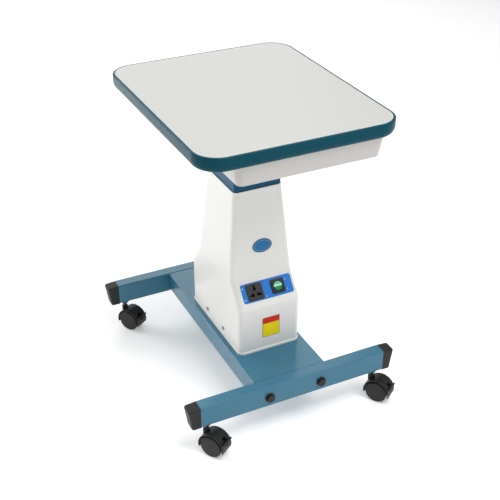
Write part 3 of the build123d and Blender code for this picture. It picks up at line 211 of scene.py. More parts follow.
# %% A finish that builds its own nodes
class Finish(Graph):
    """A material with a Principled surface, built up node by node."""

    def __init__(self, name, colour, roughness, metallic=0.0, coat=0.0, coat_roughness=0.1,
                 mirror=0.5):
        self.material = bpy.data.materials.new(name)
        self.material.use_nodes = True
        super().__init__(self.material.node_tree)
        self.surface = self.tree.nodes["Principled BSDF"]
        self.set("Base Color", (*colour, 1.0))
        self.set("Roughness", roughness)
        self.set("Metallic", metallic)
        self.set("Coat Weight", coat)
        self.set("Coat Roughness", coat_roughness)
        self.set("Specular IOR Level", mirror)

    def set(self, name, value):
        """Put a value or a link on one socket of the surface shader."""
        self.join(self.surface.inputs[name], value)

    def place(self):
        return self.node("ShaderNodeTexCoord", {}, "Object")

    def axis(self, letter):
        return self.node("ShaderNodeSeparateXYZ", {0: self.place()}, letter)

    def noise(self, scale, detail=2.0, rough=0.5, where=None):
        sockets = {"Vector": where or self.place(), "Scale": scale, "Detail": detail,
                   "Roughness": rough}
        return self.node("ShaderNodeTexNoise", sockets, "Fac")

    def mix(self, share, first, second):
        """Colour from first to second as share goes from 0 to 1."""
        colours = {0: share, 6: first if isinstance(first, Value) else (*first, 1.0),
                   7: second if isinstance(second, Value) else (*second, 1.0)}
        return self.node("ShaderNodeMix", colours, 2, data_type="RGBA", clamp_factor=True)

    def vary(self, share, colour, least, most):
        """Let the colour go from a darker to a lighter tone of itself as share goes from 0 to 1."""
        self.set("Base Color", self.mix(share, toned(colour, least), toned(colour, most)))

    def bump(self, height, distance):
        sockets = {"Height": height, "Distance": distance, "Strength": 1.0}
        self.set("Normal", self.node("ShaderNodeBump", sockets, "Normal"))

    def done(self):
        """The material, once its nodes are in place."""
        print("finish", self.material.name, "-", len(self.tree.nodes), "nodes")
        return self.material


# %% [markdown]
# ## Finishes of the frame
#
# Powder coat is baked on as dust, so it ends in a fine orange peel: a low bump with a grain of a
# millimetre or two, and a gloss that wanders a little. The base is a light teal and the mast a
# deeper blue of the same coat.

# %% Powder coat
def powder_coat(name, colour, roughness, mirror=0.3, coat=0.45):
    finish = Finish(name, colour, roughness, coat=coat, coat_roughness=0.14, mirror=mirror)
    cloud = finish.noise(9.0, 3.0)
    grain = finish.noise(700.0, 2.0)
    finish.vary(cloud * 0.5 + grain * 0.18, colour, 0.93, 1.07)
    finish.set("Roughness", roughness - 0.05 + cloud * 0.1)
    finish.bump(grain, 0.00006)
    return finish.done()


frame_teal = powder_coat("frame_teal", paint(46, 113, 140), 0.36)
mast_blue = powder_coat("mast_blue", paint(4, 78, 112), 0.34, 0.14, 0.04)

# %% [markdown]
# Moulded plastics differ mostly in their mould: the cover and the drawer come out of a polished
# one, the caps and the casters out of a spark-eroded one that leaves a fine, even grain.

# %% Moulded plastics
def smooth_moulding(name, colour, roughness, wave=0.0, coat=0.3, mirror=0.5):
    finish = Finish(name, colour, roughness, coat=coat, coat_roughness=0.14, mirror=mirror)
    cloud = finish.noise(6.0, 2.0)
    grain = finish.noise(420.0, 2.0)
    finish.vary(cloud, colour, 0.975, 1.015)
    finish.set("Roughness", roughness - 0.04 + cloud * 0.08)
    finish.bump(grain * 0.3 + cloud * wave, 0.00005)
    return finish.done()


def grained_moulding(name, colour, roughness):
    finish = Finish(name, colour, roughness, mirror=0.38)
    cells = {"Vector": finish.place(), "Scale": 900.0}
    grain = finish.node("ShaderNodeTexVoronoi", cells, "Distance")
    cloud = finish.noise(30.0, 3.0)
    finish.vary(cloud, colour, 0.85, 1.2)
    finish.set("Roughness", roughness - 0.06 + cloud * 0.14)
    finish.bump(grain, 0.00008)
    return finish.done()


cover_white = smooth_moulding("cover_white", paint(235, 234, 230), 0.38, 0.6)
drawer_white = smooth_moulding("drawer_white", paint(198, 195, 191), 0.42, 0.4)
cap_black = grained_moulding("cap_black", paint(23, 23, 25), 0.5)
hood_black = grained_moulding("hood_black", paint(25, 25, 25), 0.46)
wheel_grey = grained_moulding("wheel_grey", paint(20, 20, 21), 0.46)
switch_black = grained_moulding("switch_black", paint(48, 45, 43), 0.5)
nylon_white = smooth_moulding("nylon_white", paint(228, 226, 214), 0.5)

# %% [markdown]
# Metals inside the column and under the top: drawn steel with fine lines along its length, bright
# zinc with its soft crystal patches, cast aluminium with a sandy skin, and bronze.

# %% Metals
def drawn_steel(name, colour, roughness):
    finish = Finish(name, colour, roughness, metallic=1.0)
    stretch = {"Vector": finish.place(), "Scale": (1.0, 1.0, 0.02)}
    lines = finish.noise(1600.0, 2.0, where=finish.node("ShaderNodeMapping", stretch))
    finish.set("Roughness", roughness + lines * 0.12)
    finish.vary(lines, colour, 0.9, 1.0)
    finish.bump(lines, 0.00002)
    return finish.done()


def zinc_plate(name, colour, roughness):
    finish = Finish(name, colour, roughness, metallic=1.0)
    cells = {"Vector": finish.place(), "Scale": 120.0}
    patches = finish.node("ShaderNodeTexVoronoi", cells, "Color")
    shade = finish.node("ShaderNodeSeparateColor", {0: patches}, "Red")
    finish.vary(shade, colour, 0.86, 1.0)
    finish.set("Roughness", roughness + shade * 0.1)
    return finish.done()


def cast_metal(name, colour, roughness, metallic=1.0):
    finish = Finish(name, colour, roughness, metallic=metallic)
    sand = finish.noise(500.0, 4.0, 0.7)
    finish.vary(sand, colour, 0.8, 1.0)
    finish.set("Roughness", roughness + sand * 0.15)
    finish.bump(sand, 0.0001)
    return finish.done()


steel = drawn_steel("drawn_steel", paint(190, 192, 195), 0.28)
zinc = zinc_plate("bright_zinc", paint(205, 207, 210), 0.3)
dull_zinc = zinc_plate("dull_zinc", paint(150, 149, 146), 0.34)
black_zinc = zinc_plate("black_zinc", paint(84, 84, 87), 0.34)
cast_grey = cast_metal("cast_grey", paint(186, 188, 190), 0.45)
bronze = cast_metal("bronze", paint(205, 150, 88), 0.32)
motor_black = cast_metal("motor_black", paint(40, 40, 43), 0.4, 0.0)
core_brown = cast_metal("core_brown", paint(110, 96, 84), 0.5, 0.3)
bolt_black = cast_metal("bolt_black", paint(44, 40, 38), 0.38, 0.4)

# %% [markdown]
# ## Finishes of the top
#
# The laminate is a hard, fine-grained sheet: almost one white, with a faint fleck that only shows
# close up. Under the board is a plain pale backing sheet. The edge is a dark teal moulding with a
# soft shine.

# %% Laminate, backing and edge
def laminate(name, colour, roughness):
    finish = Finish(name, colour, roughness)
    fleck = finish.noise(900.0, 3.0, 0.6)
    cloud = finish.noise(5.0, 2.0)
    finish.vary(fleck * 0.7 + cloud * 0.3, colour, 0.965, 1.02)
    finish.set("Roughness", roughness + fleck * 0.08)
    finish.bump(fleck, 0.00004)
    return finish.done()


top_white = laminate("top_white", paint(198, 199, 195), 0.42)
backing_grey = laminate("backing_grey", paint(206, 204, 198), 0.6)
edge_teal = smooth_moulding("edge_teal", paint(0, 70, 86), 0.26, 0.5, coat=0.0, mirror=0.1)

# %% [markdown]
# ## Recipes in Geometry Nodes
#
# Whatever repeats or follows a path is made by a recipe: a tree with named inputs that takes a small
# start mesh and gives back a finished shape. The tree ends by making its instances real and giving
# them their material. The result is then kept as a plain mesh, so nothing depends on the tree later.

# %% A recipe and how it is cooked
class Recipe(Graph):
    """A Geometry Nodes tree with named inputs."""

    def __init__(self, name):
        super().__init__(bpy.data.node_groups.new(name, "GeometryNodeTree"))
        for way in ("INPUT", "OUTPUT"):
            self.tree.interface.new_socket("Geometry", in_out=way, socket_type="NodeSocketGeometry")
        self.source = self.tree.nodes.new("NodeGroupInput")
        self.inputs = {}

    def given(self):
        return Value(self, self.source.outputs["Geometry"])

    def ask(self, name, kind="Float"):
        """A named input of the recipe."""
        kind = "NodeSocket" + kind
        socket = self.tree.interface.new_socket(name, in_out="INPUT", socket_type=kind)
        self.inputs[name] = socket.identifier
        return Value(self, self.source.outputs[name])

    def attribute(self, name, kind="FLOAT"):
        """A value that each point of the start mesh carries."""
        return self.node("GeometryNodeInputNamedAttribute", {"Name": name}, data_type=kind)

    def serve(self, shape):
        """Hand the shape on as it is."""
        self.join(self.tree.nodes.new("NodeGroupOutput").inputs["Geometry"], shape)
        print("recipe", self.tree.name, "asks for", list(self.inputs))

    def finish(self, shape):
        """Make the instances real and give them their material."""
        whole = self.node("GeometryNodeRealizeInstances", {"Geometry": shape})
        coat = {"Geometry": whole, "Material": self.ask("Finish", "Material")}
        self.serve(self.node("GeometryNodeSetMaterial", coat))

    def put_on(self, piece, amounts):
        """Add the tree to a piece as a modifier, each input set by its identifier."""
        rule = piece.modifiers.new(self.tree.name, "NODES")
        rule.node_group = self.tree
        for name, amount in amounts.items():
            rule[self.inputs[name]] = amount

    def cook(self, name, start, **amounts):
        """Run the recipe on a start mesh and keep the result as a plain piece."""
        piece = add(name, start)
        self.put_on(piece, {key.replace("_", " "): amount for key, amount in amounts.items()})
        keep_result(piece)
        return piece


# %% Keep what a recipe makes
def keep_result(piece):
    """Swap a piece's mesh for what its recipe makes of it, with no recipe left on it."""
    view = bpy.context.evaluated_depsgraph_get()
    mesh = bpy.data.meshes.new_from_object(piece.evaluated_get(view))
    piece.modifiers.clear()
    piece.data.name = piece.name + "_start"
    piece.data = mesh
    mesh.name = piece.name


# %% [markdown]
# ## Smooth shading for the machined solids
#
# The solids come as loose triangles. Welding them and shading them smooth, except across real
# corners, makes a fillet read as one curve. That is one rule for every node, so it is one small
# recipe, and a Weighted Normal modifier after it keeps the large faces flat. A node's own mesh is
# left alone, so the recipe stays on it; a piece made here keeps the recipe's result instead.

# %% The shading recipe
weld_and_shade = Recipe("weld_and_shade")
crease = weld_and_shade.ask("Crease angle")
welded = weld_and_shade.node("GeometryNodeMergeByDistance",
                             {"Geometry": weld_and_shade.given(), "Distance": 0.000002})
smooth = weld_and_shade.node("GeometryNodeSetShadeSmooth", {"Geometry": welded})
bend = weld_and_shade.node("GeometryNodeInputMeshEdgeAngle", {}, "Unsigned Angle")
gentle = bend < crease
creased = {"Geometry": smooth, "Shade Smooth": gentle}
weld_and_shade.serve(weld_and_shade.node("GeometryNodeSetShadeSmooth", creased, domain="EDGE"))


# %% Shade and dress
def shade(piece, keep):
    """Weld and smooth a mesh; keep says that the result becomes its plain mesh."""
    weld_and_shade.put_on(piece, {"Crease angle": radians(32)})
    if keep:
        keep_result(piece)
    piece.modifiers.new("weights", "WEIGHTED_NORMAL").keep_sharp = True


def dress(material, *names):
    """Give machined nodes their finish and their smooth shading."""
    for name in names:
        node = nodes[name]
        node.data.materials.clear()
        node.data.materials.append(material)
        shade(node, keep=False)


# %% The machined parts in their finishes
corners = [f"{end}_{side}" for end in ("front", "rear") for side in ("left", "right")]
dress(frame_teal, "front_cross_tube", "rear_cross_tube", "centre_beam", "column_base_plate",
      "head_plate")
dress(mast_blue, "lift_mast")
dress(cover_white, "column_cover")
dress(drawer_white, "drawer")
dress(cap_black, *[f"end_cap_{corner}" for corner in corners])
dress(hood_black, *[f"caster_hood_{corner}" for corner in corners])
dress(hood_black, *[f"brake_lever_{corner}" for corner in corners])
for side in ("outer", "inner"):
    dress(wheel_grey, *[f"caster_wheel_{side}_{corner}" for corner in corners])
dress(zinc, "base_plate_bolts", "drawer_rails", "drive_tube")
dress(steel, "guide_post", "push_tube")
dress(nylon_white, "post_collar", "mast_collar")
dress(cast_grey, "gearbox")
dress(motor_black, "lift_motor")
dress(core_brown, "transformer")
dress(bronze, "lift_nut")
dress(switch_black, "control_box", "limit_switches", "mains_inlet")
dress(top_white, "table_laminate")
dress(backing_grey, "table_board")
print("dressed", sum(1 for n in nodes.values() if n.modifiers), "of", len(nodes), "nodes")

# %% [markdown]
# ## Printed film and plates
#
# The control label, the notice plate and the badge are thin films and enamels with an even gloss.
# The notice plate is left bare: a red band over yellow inside a thin border, worked out from the
# place on the plate, so its edges stay sharp at any distance.

# %% Films and enamels
def film(name, colour, roughness):
    finish = Finish(name, colour, roughness, coat=0.15, coat_roughness=0.12, mirror=0.25)
    cloud = finish.noise(40.0, 2.0)
    finish.vary(cloud, colour, 0.94, 1.05)
    finish.set("Roughness", roughness - 0.03 + cloud * 0.06)
    return finish.done()


label_blue = film("label_blue", paint(26, 122, 212), 0.34)
badge_blue = film("badge_blue", paint(14, 106, 166), 0.3)
badge_dark = film("badge_dark", paint(10, 76, 108), 0.28)
badge_line = film("badge_line", paint(150, 196, 222), 0.36)
print_pale = film("print_pale", paint(214, 230, 244), 0.45)
bezel_black = smooth_moulding("bezel_black", paint(30, 29, 29), 0.36, 0.3, coat=0.1, mirror=0.3)
outlet_brown = smooth_moulding("outlet_brown", paint(50, 47, 44), 0.42, 0.3, coat=0.1, mirror=0.3)
weld_blue = powder_coat("weld_blue", paint(74, 124, 150), 0.36)


# %% The notice plate's two colours
def notice_film():
    low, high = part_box("notice_plate")
    yellow, red, border = paint(246, 222, 8), paint(212, 22, 18), paint(140, 122, 30)
    finish = Finish("notice_film", yellow, 0.42, coat=0.1, coat_roughness=0.15, mirror=0.25)
    x, z = finish.axis("X"), finish.axis("Z")
    middle_x, middle_z = (low.x + high.x) / 2, (low.z + high.z) / 2
    half_x, half_z = (high.x - low.x) / 2, (high.z - low.z) / 2
    edge, red_share = 1.1 * MM, 0.31
    inside = (abs(x - middle_x) < half_x - edge) * (abs(z - middle_z) < half_z - edge)
    band = z > high.z - red_share * (high.z - low.z)
    cloud = finish.noise(60.0, 2.0)
    base = finish.mix(band, yellow, red)
    shaded = finish.mix(cloud * 0.12, base, border)
    finish.set("Base Color", finish.mix(inside, border, shaded))
    finish.set("Roughness", 0.38 + cloud * 0.08)
    return finish.done()


notice_bare = notice_film()
dress(label_blue, "control_label")
dress(notice_bare, "notice_plate")

# %% [markdown]
# ## Shapes drawn ring by ring
#
# A moulded flange, a bezel or a badge is easy to describe as a stack of outlines: each ring is the
# shape's edge at one height, and a skin joins them. Rings with equally many points can turn from a
# square into a circle on the way. A turned part is simpler still: half its section, spun round.

# %% Rings
def square(half, corner, height, steps=6):
    """A square with round corners at one height, anticlockwise, in millimetres."""
    ring = []
    for x_side, y_side, first in ((1, 1, 0), (-1, 1, 90), (-1, -1, 180), (1, -1, 270)):
        for step in range(steps + 1):
            angle = radians(first + 90 * step / steps)
            ring.append(Vector((x_side * (half - corner) + corner * cos(angle),
                                y_side * (half - corner) + corner * sin(angle), height)) * MM)
    return ring


def circle(radius, height):
    """A circle with as many points as a square has."""
    return square(radius, radius, height)


def eased_edge(half, corner, ease):
    """The rings that round the front edge of a square flange."""
    rings = []
    for step in (30, 60, 90):
        inset = ease * (1 - cos(radians(step)))
        rings.append(square(half - inset, corner - inset, -ease * (1 - sin(radians(step)))))
    return rings


def oval(half_x, half_y, height, steps=48):
    """An oval at one height, in millimetres."""
    turns = [2 * pi * step / steps for step in range(steps)]
    return [Vector((half_x * cos(turn), half_y * sin(turn), height)) * MM for turn in turns]


print("a square and a circle both have", len(circle(1.0, 0.0)), "points")


# %% Skins and turned parts
def tidy(mesh):
    """Weld doubled points and turn every face outwards."""
    work = bmesh.new()
    work.from_mesh(mesh)
    bmesh.ops.remove_doubles(work, verts=work.verts, dist=0.000002)
    bmesh.ops.recalc_face_normals(work, faces=work.faces)
    work.to_mesh(mesh)
    work.free()
    return mesh


def skin(name, rings):
    """A closed skin over a stack of rings."""
    count = len(rings[0])
    last = (len(rings) - 1) * count
    faces = [list(range(count))[::-1], [last + index for index in range(count)]]
    for start in range(0, last, count):
        for index in range(count):
            here, there = start + index, start + (index + 1) % count
            faces.append((here, there, there + count, here + count))
    mesh = bpy.data.meshes.new(name)
    mesh.from_pydata([point for ring in rings for point in ring], [], faces)
    return tidy(mesh)


def turned(name, section, steps=32):
    """A part turned round Z, from half its section as (radius, height) in millimetres."""
    work = bmesh.new()
    points = [work.verts.new((radius * MM, 0.0, height * MM)) for radius, height in section]
    line = [work.edges.new(pair) for pair in zip(points, points[1:])]
    bmesh.ops.spin(work, geom=points + line, cent=(0, 0, 0), axis=(0, 0, 1), angle=2 * pi,
                   steps=steps)
    mesh = bpy.data.meshes.new(name)
    work.to_mesh(mesh)
    work.free()
    return tidy(mesh)


# %% Start meshes that carry values on their points
def points_with(name, places, links=(), **carried):
    """A mesh of points and lines; each point carries named numbers or vectors."""
    mesh = bpy.data.meshes.new(name)
    mesh.from_pydata(places, links, [])
    for key, values in carried.items():
        vector = hasattr(values[0], "__len__")
        layer = mesh.attributes.new(key, "FLOAT_VECTOR" if vector else "FLOAT", "POINT")
        for item, value in zip(layer.data, values):
            if vector:
                item.vector = value
            else:
                item.value = value
    return mesh


def tool(name, mesh):
    """A hidden helper object that a recipe may take as an input."""
    return bpy.data.objects.new(name, mesh)


def settle(piece, body, material, *replaced, place=None, slot=None):
    """Put a finished piece in its place, on its body, in its finish, instead of its plain node."""
    if place is not None:
        piece.data.transform(place)
    if not piece.data.materials:
        piece.data.materials.append(material)
    shade(piece, keep=True)
    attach(piece, body)
    if replaced:
        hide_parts(*replaced)
    print(piece.name, "on", body, "-", len(piece.data.polygons), "faces")


# %% Reading a node's own face
def face_of(name, facing):
    """A node's flat face as a placing matrix: its middle, X to the right, Y up the face, Z out."""
    mesh = nodes[name].data
    facing = Vector(facing).normalized()
    near = [polygon for polygon in mesh.polygons if polygon.normal.dot(facing) > 0.8]
    widest = max(near, key=lambda polygon: polygon.area).normal.copy()
    flat = [polygon for polygon in near if polygon.normal.dot(widest) > 0.9999]
    out = max((polygon.center.dot(widest), polygon.index) for polygon in flat)[0]
    flat = [polygon for polygon in flat if abs(polygon.center.dot(widest) - out) < 0.0001]
    across = Vector((0, 0, 1)).cross(widest).normalized()
    up = widest.cross(across)
    touched = {index for polygon in flat for index in polygon.vertices}
    along = [mesh.vertices[index].co.dot(across) for index in touched]
    rise = [mesh.vertices[index].co.dot(up) for index in touched]
    middle = (across * (max(along) + min(along)) + up * (max(rise) + min(rise))) / 2 + widest * out
    place = Matrix((across, up, widest)).transposed().to_4x4()
    place.translation = middle
    return place


def half_width(name):
    """Half of a node's width, in millimetres."""
    low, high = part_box(name)
    return (high.x - low.x) / 2 / MM


print("label faces", [round(v, 3) for v in face_of("control_label", (0, -1, 1)).col[2]])

# %% [markdown]
# ## The moulded edge of the top
#
# The edge is one moulding bent round the board: a flat lip beside the laminate, a small rounding and
# an undercut foot. A sweep says just that. The section is the start mesh, the recipe draws the board's
# outline as its path, and a point's own rounding comes from a number that it carries.

# %% Sweep a section round the board
sweep = Recipe("sweep_round_board")
outline = sweep.node("GeometryNodeCurvePrimitiveQuadrilateral",
                     {"Width": sweep.ask("Board width"), "Height": sweep.ask("Board depth")})
path = sweep.node("GeometryNodeFilletCurve",
                  {"Curve": outline, "Count": 28, "Radius": sweep.ask("Board corner")}, mode="POLY")
drawn = sweep.node("GeometryNodeMeshToCurve", {"Mesh": sweep.given()})
section = sweep.node("GeometryNodeFilletCurve",
                     {"Curve": drawn, "Count": 6, "Radius": sweep.attribute("rounding"),
                      "Limit Radius": True}, mode="POLY")
sweep.finish(sweep.node("GeometryNodeCurveToMesh", {"Curve": path, "Profile Curve": section}))

# %% The section, in millimetres out from the board and up from its underside
band_low, band_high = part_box("edge_band")
board_low, board_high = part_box("table_board")
laminate_low, laminate_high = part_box("table_laminate")
reach = (band_high.x - board_high.x) / MM
tall = (band_high.z - band_low.z) / MM
lip = (band_high.x - laminate_high.x) / MM
sheet_top = (laminate_low.z - band_low.z) / MM
crest, inward, upward = 2.5, 8.0, 14.0
under = [(reach - inward * (1 - sin(turn)), upward * (1 - cos(turn)))
         for turn in [radians(9 * step) for step in range(10, -1, -1)]]
section_points = [(0, 0), (0, sheet_top), (reach - lip, sheet_top), (reach - lip, tall), (reach, tall)]
roundings = [0, 0, 0, 0.2 * MM, crest * MM] + [0] * len(under)
section_points += under
ring_links = [(index, (index + 1) % len(section_points)) for index in range(len(section_points))]
band_section = points_with("band_section", [(out * MM, -up * MM, 0) for out, up in section_points],
                           ring_links, rounding=roundings)
print("section of", len(section_points), "points, reaching", round(reach, 2), "mm out")

# %% The edge itself
board_size = board_high - board_low
board_corner = 38.0 * MM
edge_moulding = sweep.cook("edge_moulding", band_section, Board_width=board_size.x,
                           Board_depth=board_size.y, Board_corner=board_corner, Finish=edge_teal)
edge_middle = (band_low + band_high) / 2
settle(edge_moulding, "mast", edge_teal, "edge_band",
       place=Matrix.Translation((edge_middle.x, edge_middle.y, band_low.z)))

# %% [markdown]
# ## Screws, bolts and nuts
#
# A screw head is turned, its cross recess is cut by two crossed blades, and the finished screw is
# copied to each hole, turned by chance as real ones are. One recipe cuts, another copies: each point
# of the start mesh carries the direction that its screw faces.

# %% Cut a cross into a head
cross_cut = Recipe("cross_cut")
deep = cross_cut.ask("Cut depth")
long = cross_cut.ask("Cut length")
thick = cross_cut.ask("Cut width")
head_top = cross_cut.ask("Head top")
blades = []
for first, second in ((long, thick), (thick, long)):
    size = cross_cut.node("ShaderNodeCombineXYZ", {0: first, 1: second, 2: deep * 2.0})
    blade = cross_cut.node("GeometryNodeMeshCube", {"Size": size})
    lift = cross_cut.node("ShaderNodeCombineXYZ", {2: head_top})
    blades.append(cross_cut.node("GeometryNodeTransform", {"Geometry": blade, "Translation": lift}))
cut = {"Mesh 1": cross_cut.given(), "Mesh 2": blades, "Self Intersection": True}
cross_cut.finish(cross_cut.node("GeometryNodeMeshBoolean", cut, operation="DIFFERENCE",
                                solver="EXACT"))

# %% Copy a part to the points of a mesh
copies = Recipe("copies")
place_seed = copies.ask("Seed", "Int")
part = copies.node("GeometryNodeObjectInfo", {"Object": copies.ask("Part", "Object")},
                   "Geometry")
turn = copies.node("FunctionNodeRandomValue", {2: 0.0, 3: 2 * pi, "Seed": place_seed}, 1,
                   data_type="FLOAT")
spun = copies.node("FunctionNodeAxisAngleToRotation", {"Axis": (0.0, 0.0, 1.0), "Angle": turn})
facing = copies.attribute("facing", "FLOAT_VECTOR")
faced = copies.node("FunctionNodeAlignRotationToVector", {"Vector": facing}, axis="Z")
stance = copies.node("FunctionNodeRotateRotation", {"Rotation": faced, "Rotate By": spun},
                     rotation_space="LOCAL")
copies.finish(copies.node("GeometryNodeInstanceOnPoints",
                          {"Points": copies.given(), "Instance": part, "Rotation": stance}))


# %% Screws
def pan_screw(name, radius, high, shank, length):
    """A pan-head screw with a cross recess, its seat at zero and its head up."""
    dome = [(radius * sin(radians(step)), high * (0.45 + 0.55 * cos(radians(step))))
            for step in (0, 20, 40, 60, 75, 90)]
    tip = 1.5
    section = dome + [(radius, 0.0), (shank, 0.0), (shank, tip - length), (0.0, -length)]
    whole = turned(name, section, 28)
    return cross_cut.cook(name, whole, Cut_depth=high * 0.62 * MM, Cut_length=radius * 1.15 * MM,
                          Cut_width=radius * 0.26 * MM, Head_top=high * MM, Finish=zinc)


def copy_to(name, part, places, facings, material, seed):
    """Copies of a part at places, each facing its own way."""
    start = points_with(name + "_places", places, facing=facings)
    return copies.cook(name, start, Seed=seed, Part=part, Finish=material)


# %% Screws in the cover's foot
low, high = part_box("cover_screws")
head, rise = 4.2, 2.4
middle_z = (low.z + high.z) / 2
seats = [(x, y, middle_z) for x in (low.x + rise * MM, high.x - rise * MM)
         for y in (low.y + head * MM, high.y - head * MM)]
sideways = [(-1.0, 0, 0)] * 2 + [(1.0, 0, 0)] * 2
cover_part = pan_screw("cover_screw_part", head, rise, 2.0, 7.0)
cover_row = copy_to("cover_screw_row", cover_part, seats, sideways, dull_zinc, seed=3)
bpy.data.objects.remove(cover_part)
settle(cover_row, "base", dull_zinc, "cover_screws")

# %% Screws under the top
low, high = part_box("head_screws")
head, rise = 4.4, 2.6
rows_y = (low.y + head * MM, (low.y + high.y) / 2, high.y - head * MM)
seats = [(x, y, low.z + rise * MM) for x in (low.x + head * MM, high.x - head * MM) for y in rows_y]
head_part = pan_screw("head_screw_part", head, rise, 2.2, (high.z - low.z) / MM - rise)
downwards = [(0, 0, -1.0)] * len(seats)
head_row = copy_to("head_screw_row", head_part, seats, downwards, zinc, seed=5)
bpy.data.objects.remove(head_part)
settle(head_row, "mast", zinc, "head_screws")

# %% [markdown]
# A nut is a hexagon bar whose corners are turned off at both ends: what a hexagon and a turned barrel
# have in common. So its recipe intersects the two.

# %% Nuts
nut_recipe = Recipe("nut")
flats = nut_recipe.ask("Across flats")
thickness = nut_recipe.ask("Thickness")
prism = nut_recipe.node("GeometryNodeMeshCylinder",
                        {"Vertices": 6, "Radius": flats / (2 * cos(pi / 6)), "Depth": thickness})
both = {"Mesh 2": [nut_recipe.given(), prism]}
nut_recipe.finish(nut_recipe.node("GeometryNodeMeshBoolean", both, operation="INTERSECT",
                                  solver="EXACT"))


def nut(name, across, thick, bolt):
    """A chamfered hexagon nut, bored for its bolt, its middle at zero."""
    corner = across / 2 / cos(pi / 6) + 0.1
    edge = across / 2 - 0.3
    cut = thick / 2 - 0.9
    end = thick / 2 + 0.01
    section = [(bolt, end), (edge, end), (corner, cut), (corner, -cut), (edge, -end), (bolt, -end),
               (bolt, end)]
    barrel = turned(name + "_barrel", section, 48)
    return nut_recipe.cook(name, barrel, Across_flats=across * MM, Thickness=thick * MM, Finish=zinc)


nut_m10 = nut("nut_m10", 17.0, 8.0, 4.9)

# %% Frame bolts: a black head with a flat face on a dished washer
def frame_bolt(name, grip):
    """Head, washer and shank in one section; the grip is what the bolt holds together."""
    end = -grip - 10.0
    head_section = [(0, 7.2), (7.2, 7.2), (7.6, 7.5), (8.0, 7.5), (8.7, 6.8), (8.7, 1.8)]
    washer_section = [(9.4, 1.6), (10.6, 1.5), (11.2, 1.0), (11.2, 0)]
    shank_section = [(5.0, 0), (5.0, end + 0.8), (4.2, end), (0, end)]
    return tool(name, turned(name, head_section + washer_section + shank_section, 40))


low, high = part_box("front_frame_bolts")
rear_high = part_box("rear_frame_bolts")[1]
washer, bolt_head, grip = 11.2 * MM, 7.6 * MM, 35.0
bolt_z = (low.z + high.z) / 2
front_seat, rear_seat = low.y + bolt_head, rear_high.y - bolt_head
xs = (low.x + washer, high.x - washer)
seats = [(x, y, bolt_z) for y in (front_seat, rear_seat) for x in xs]
facings = [(0, -1.0, 0)] * 2 + [(0, 1.0, 0)] * 2
bolt_part = frame_bolt("frame_bolt_part", grip)
bolt_row = copy_to("frame_bolt_row", bolt_part, seats, facings, bolt_black, seed=2)
bpy.data.objects.remove(bolt_part)
settle(bolt_row, "base", bolt_black, "front_frame_bolts", "rear_frame_bolts")
nut_gap = (grip + 4.0) * MM
nut_seats = [(x, y, bolt_z) for y in (front_seat + nut_gap, rear_seat - nut_gap) for x in xs]
nut_row = copy_to("frame_nut_row", nut_m10, nut_seats, facings, zinc, seed=7)
settle(nut_row, "base", zinc, "front_frame_bolts", "rear_frame_bolts", slot="zinc_steel")

# %% [markdown]
# ## Threads
#
# A thread is one ridge wound round a rod. The recipe draws a spiral, sweeps the ridge's section along
# it, and lets the ridge fade in and out at its ends, as a cut thread does.

# %% Wind a ridge round a rod
thread = Recipe("thread")
turns = thread.ask("Turns")
core = thread.ask("Core radius")
length = thread.ask("Length")
spiral = thread.node("GeometryNodeCurveSpiral",
                     {"Resolution": 24, "Rotations": turns, "Start Radius": core, "End Radius": core,
                      "Height": length})
level_spiral = thread.node("GeometryNodeSetCurveNormal", {"Curve": spiral}, mode="Z_UP")
along = thread.node("GeometryNodeSplineParameter", {}, "Factor")
ends = thread.node("ShaderNodeMath", {0: along, 1: 1 - along}, operation="MINIMUM")
growing = ends * turns * 2.0 + 0.05
fade = thread.node("ShaderNodeMath", {0: growing, 1: 1.0}, operation="MINIMUM")
ridge = thread.node("GeometryNodeMeshToCurve", {"Mesh": thread.given()})
thread.finish(thread.node("GeometryNodeCurveToMesh",
                          {"Curve": level_spiral, "Profile Curve": ridge, "Scale": fade,
                           "Fill Caps": True}))


def wind(name, core, crest, pitch, foot, head, flat, material):
    """A ridge from foot to head, in millimetres up; flat is the width of its crest."""
    high = crest - core
    base = pitch * 0.5 - 0.02
    outline = [(-0.25, -base), (high, -flat / 2), (high, flat / 2), (-0.25, base)]
    start = points_with(name + "_ridge", [(out * MM, up * MM, 0) for out, up in outline],
                        [(0, 1), (1, 2), (2, 3), (3, 0)])
    made = thread.cook(name, start, Turns=(head - foot) / pitch, Core_radius=core * MM,
                       Length=(head - foot) * MM, Finish=material)
    made.data.transform(Matrix.Translation((0, 0, foot * MM)))
    return made


# %% The lead screw
def axis_of(name):
    """Where the upright middle line of a node stands."""
    low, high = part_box(name)
    return (low.x + high.x) / 2, (low.y + high.y) / 2


low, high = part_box("lead_screw")
base_z, tip_z = low.z / MM, high.z / MM
start_z = base_z + 26.0
rod_section = [(0, tip_z), (5.0, tip_z), (6.0, tip_z - 1.5), (6.0, start_z), (7.9, start_z - 1.0),
               (8.0, start_z - 2.0), (8.0, base_z + 1.0), (7.0, base_z), (0, base_z)]
lead_core = add("lead_screw_core", turned("lead_screw_core", rod_section, 32))
lead_ridge = wind("lead_screw_ridge", core=6.0, crest=8.0, pitch=8.0, foot=start_z + 3.0,
                  head=tip_z - 4.0, flat=2.9, material=steel)
screw_place = Matrix.Translation((*axis_of("lead_screw"), 0))
settle(lead_core, "screw", steel, "lead_screw", place=screw_place)
settle(lead_ridge, "screw", steel, "lead_screw", place=screw_place)

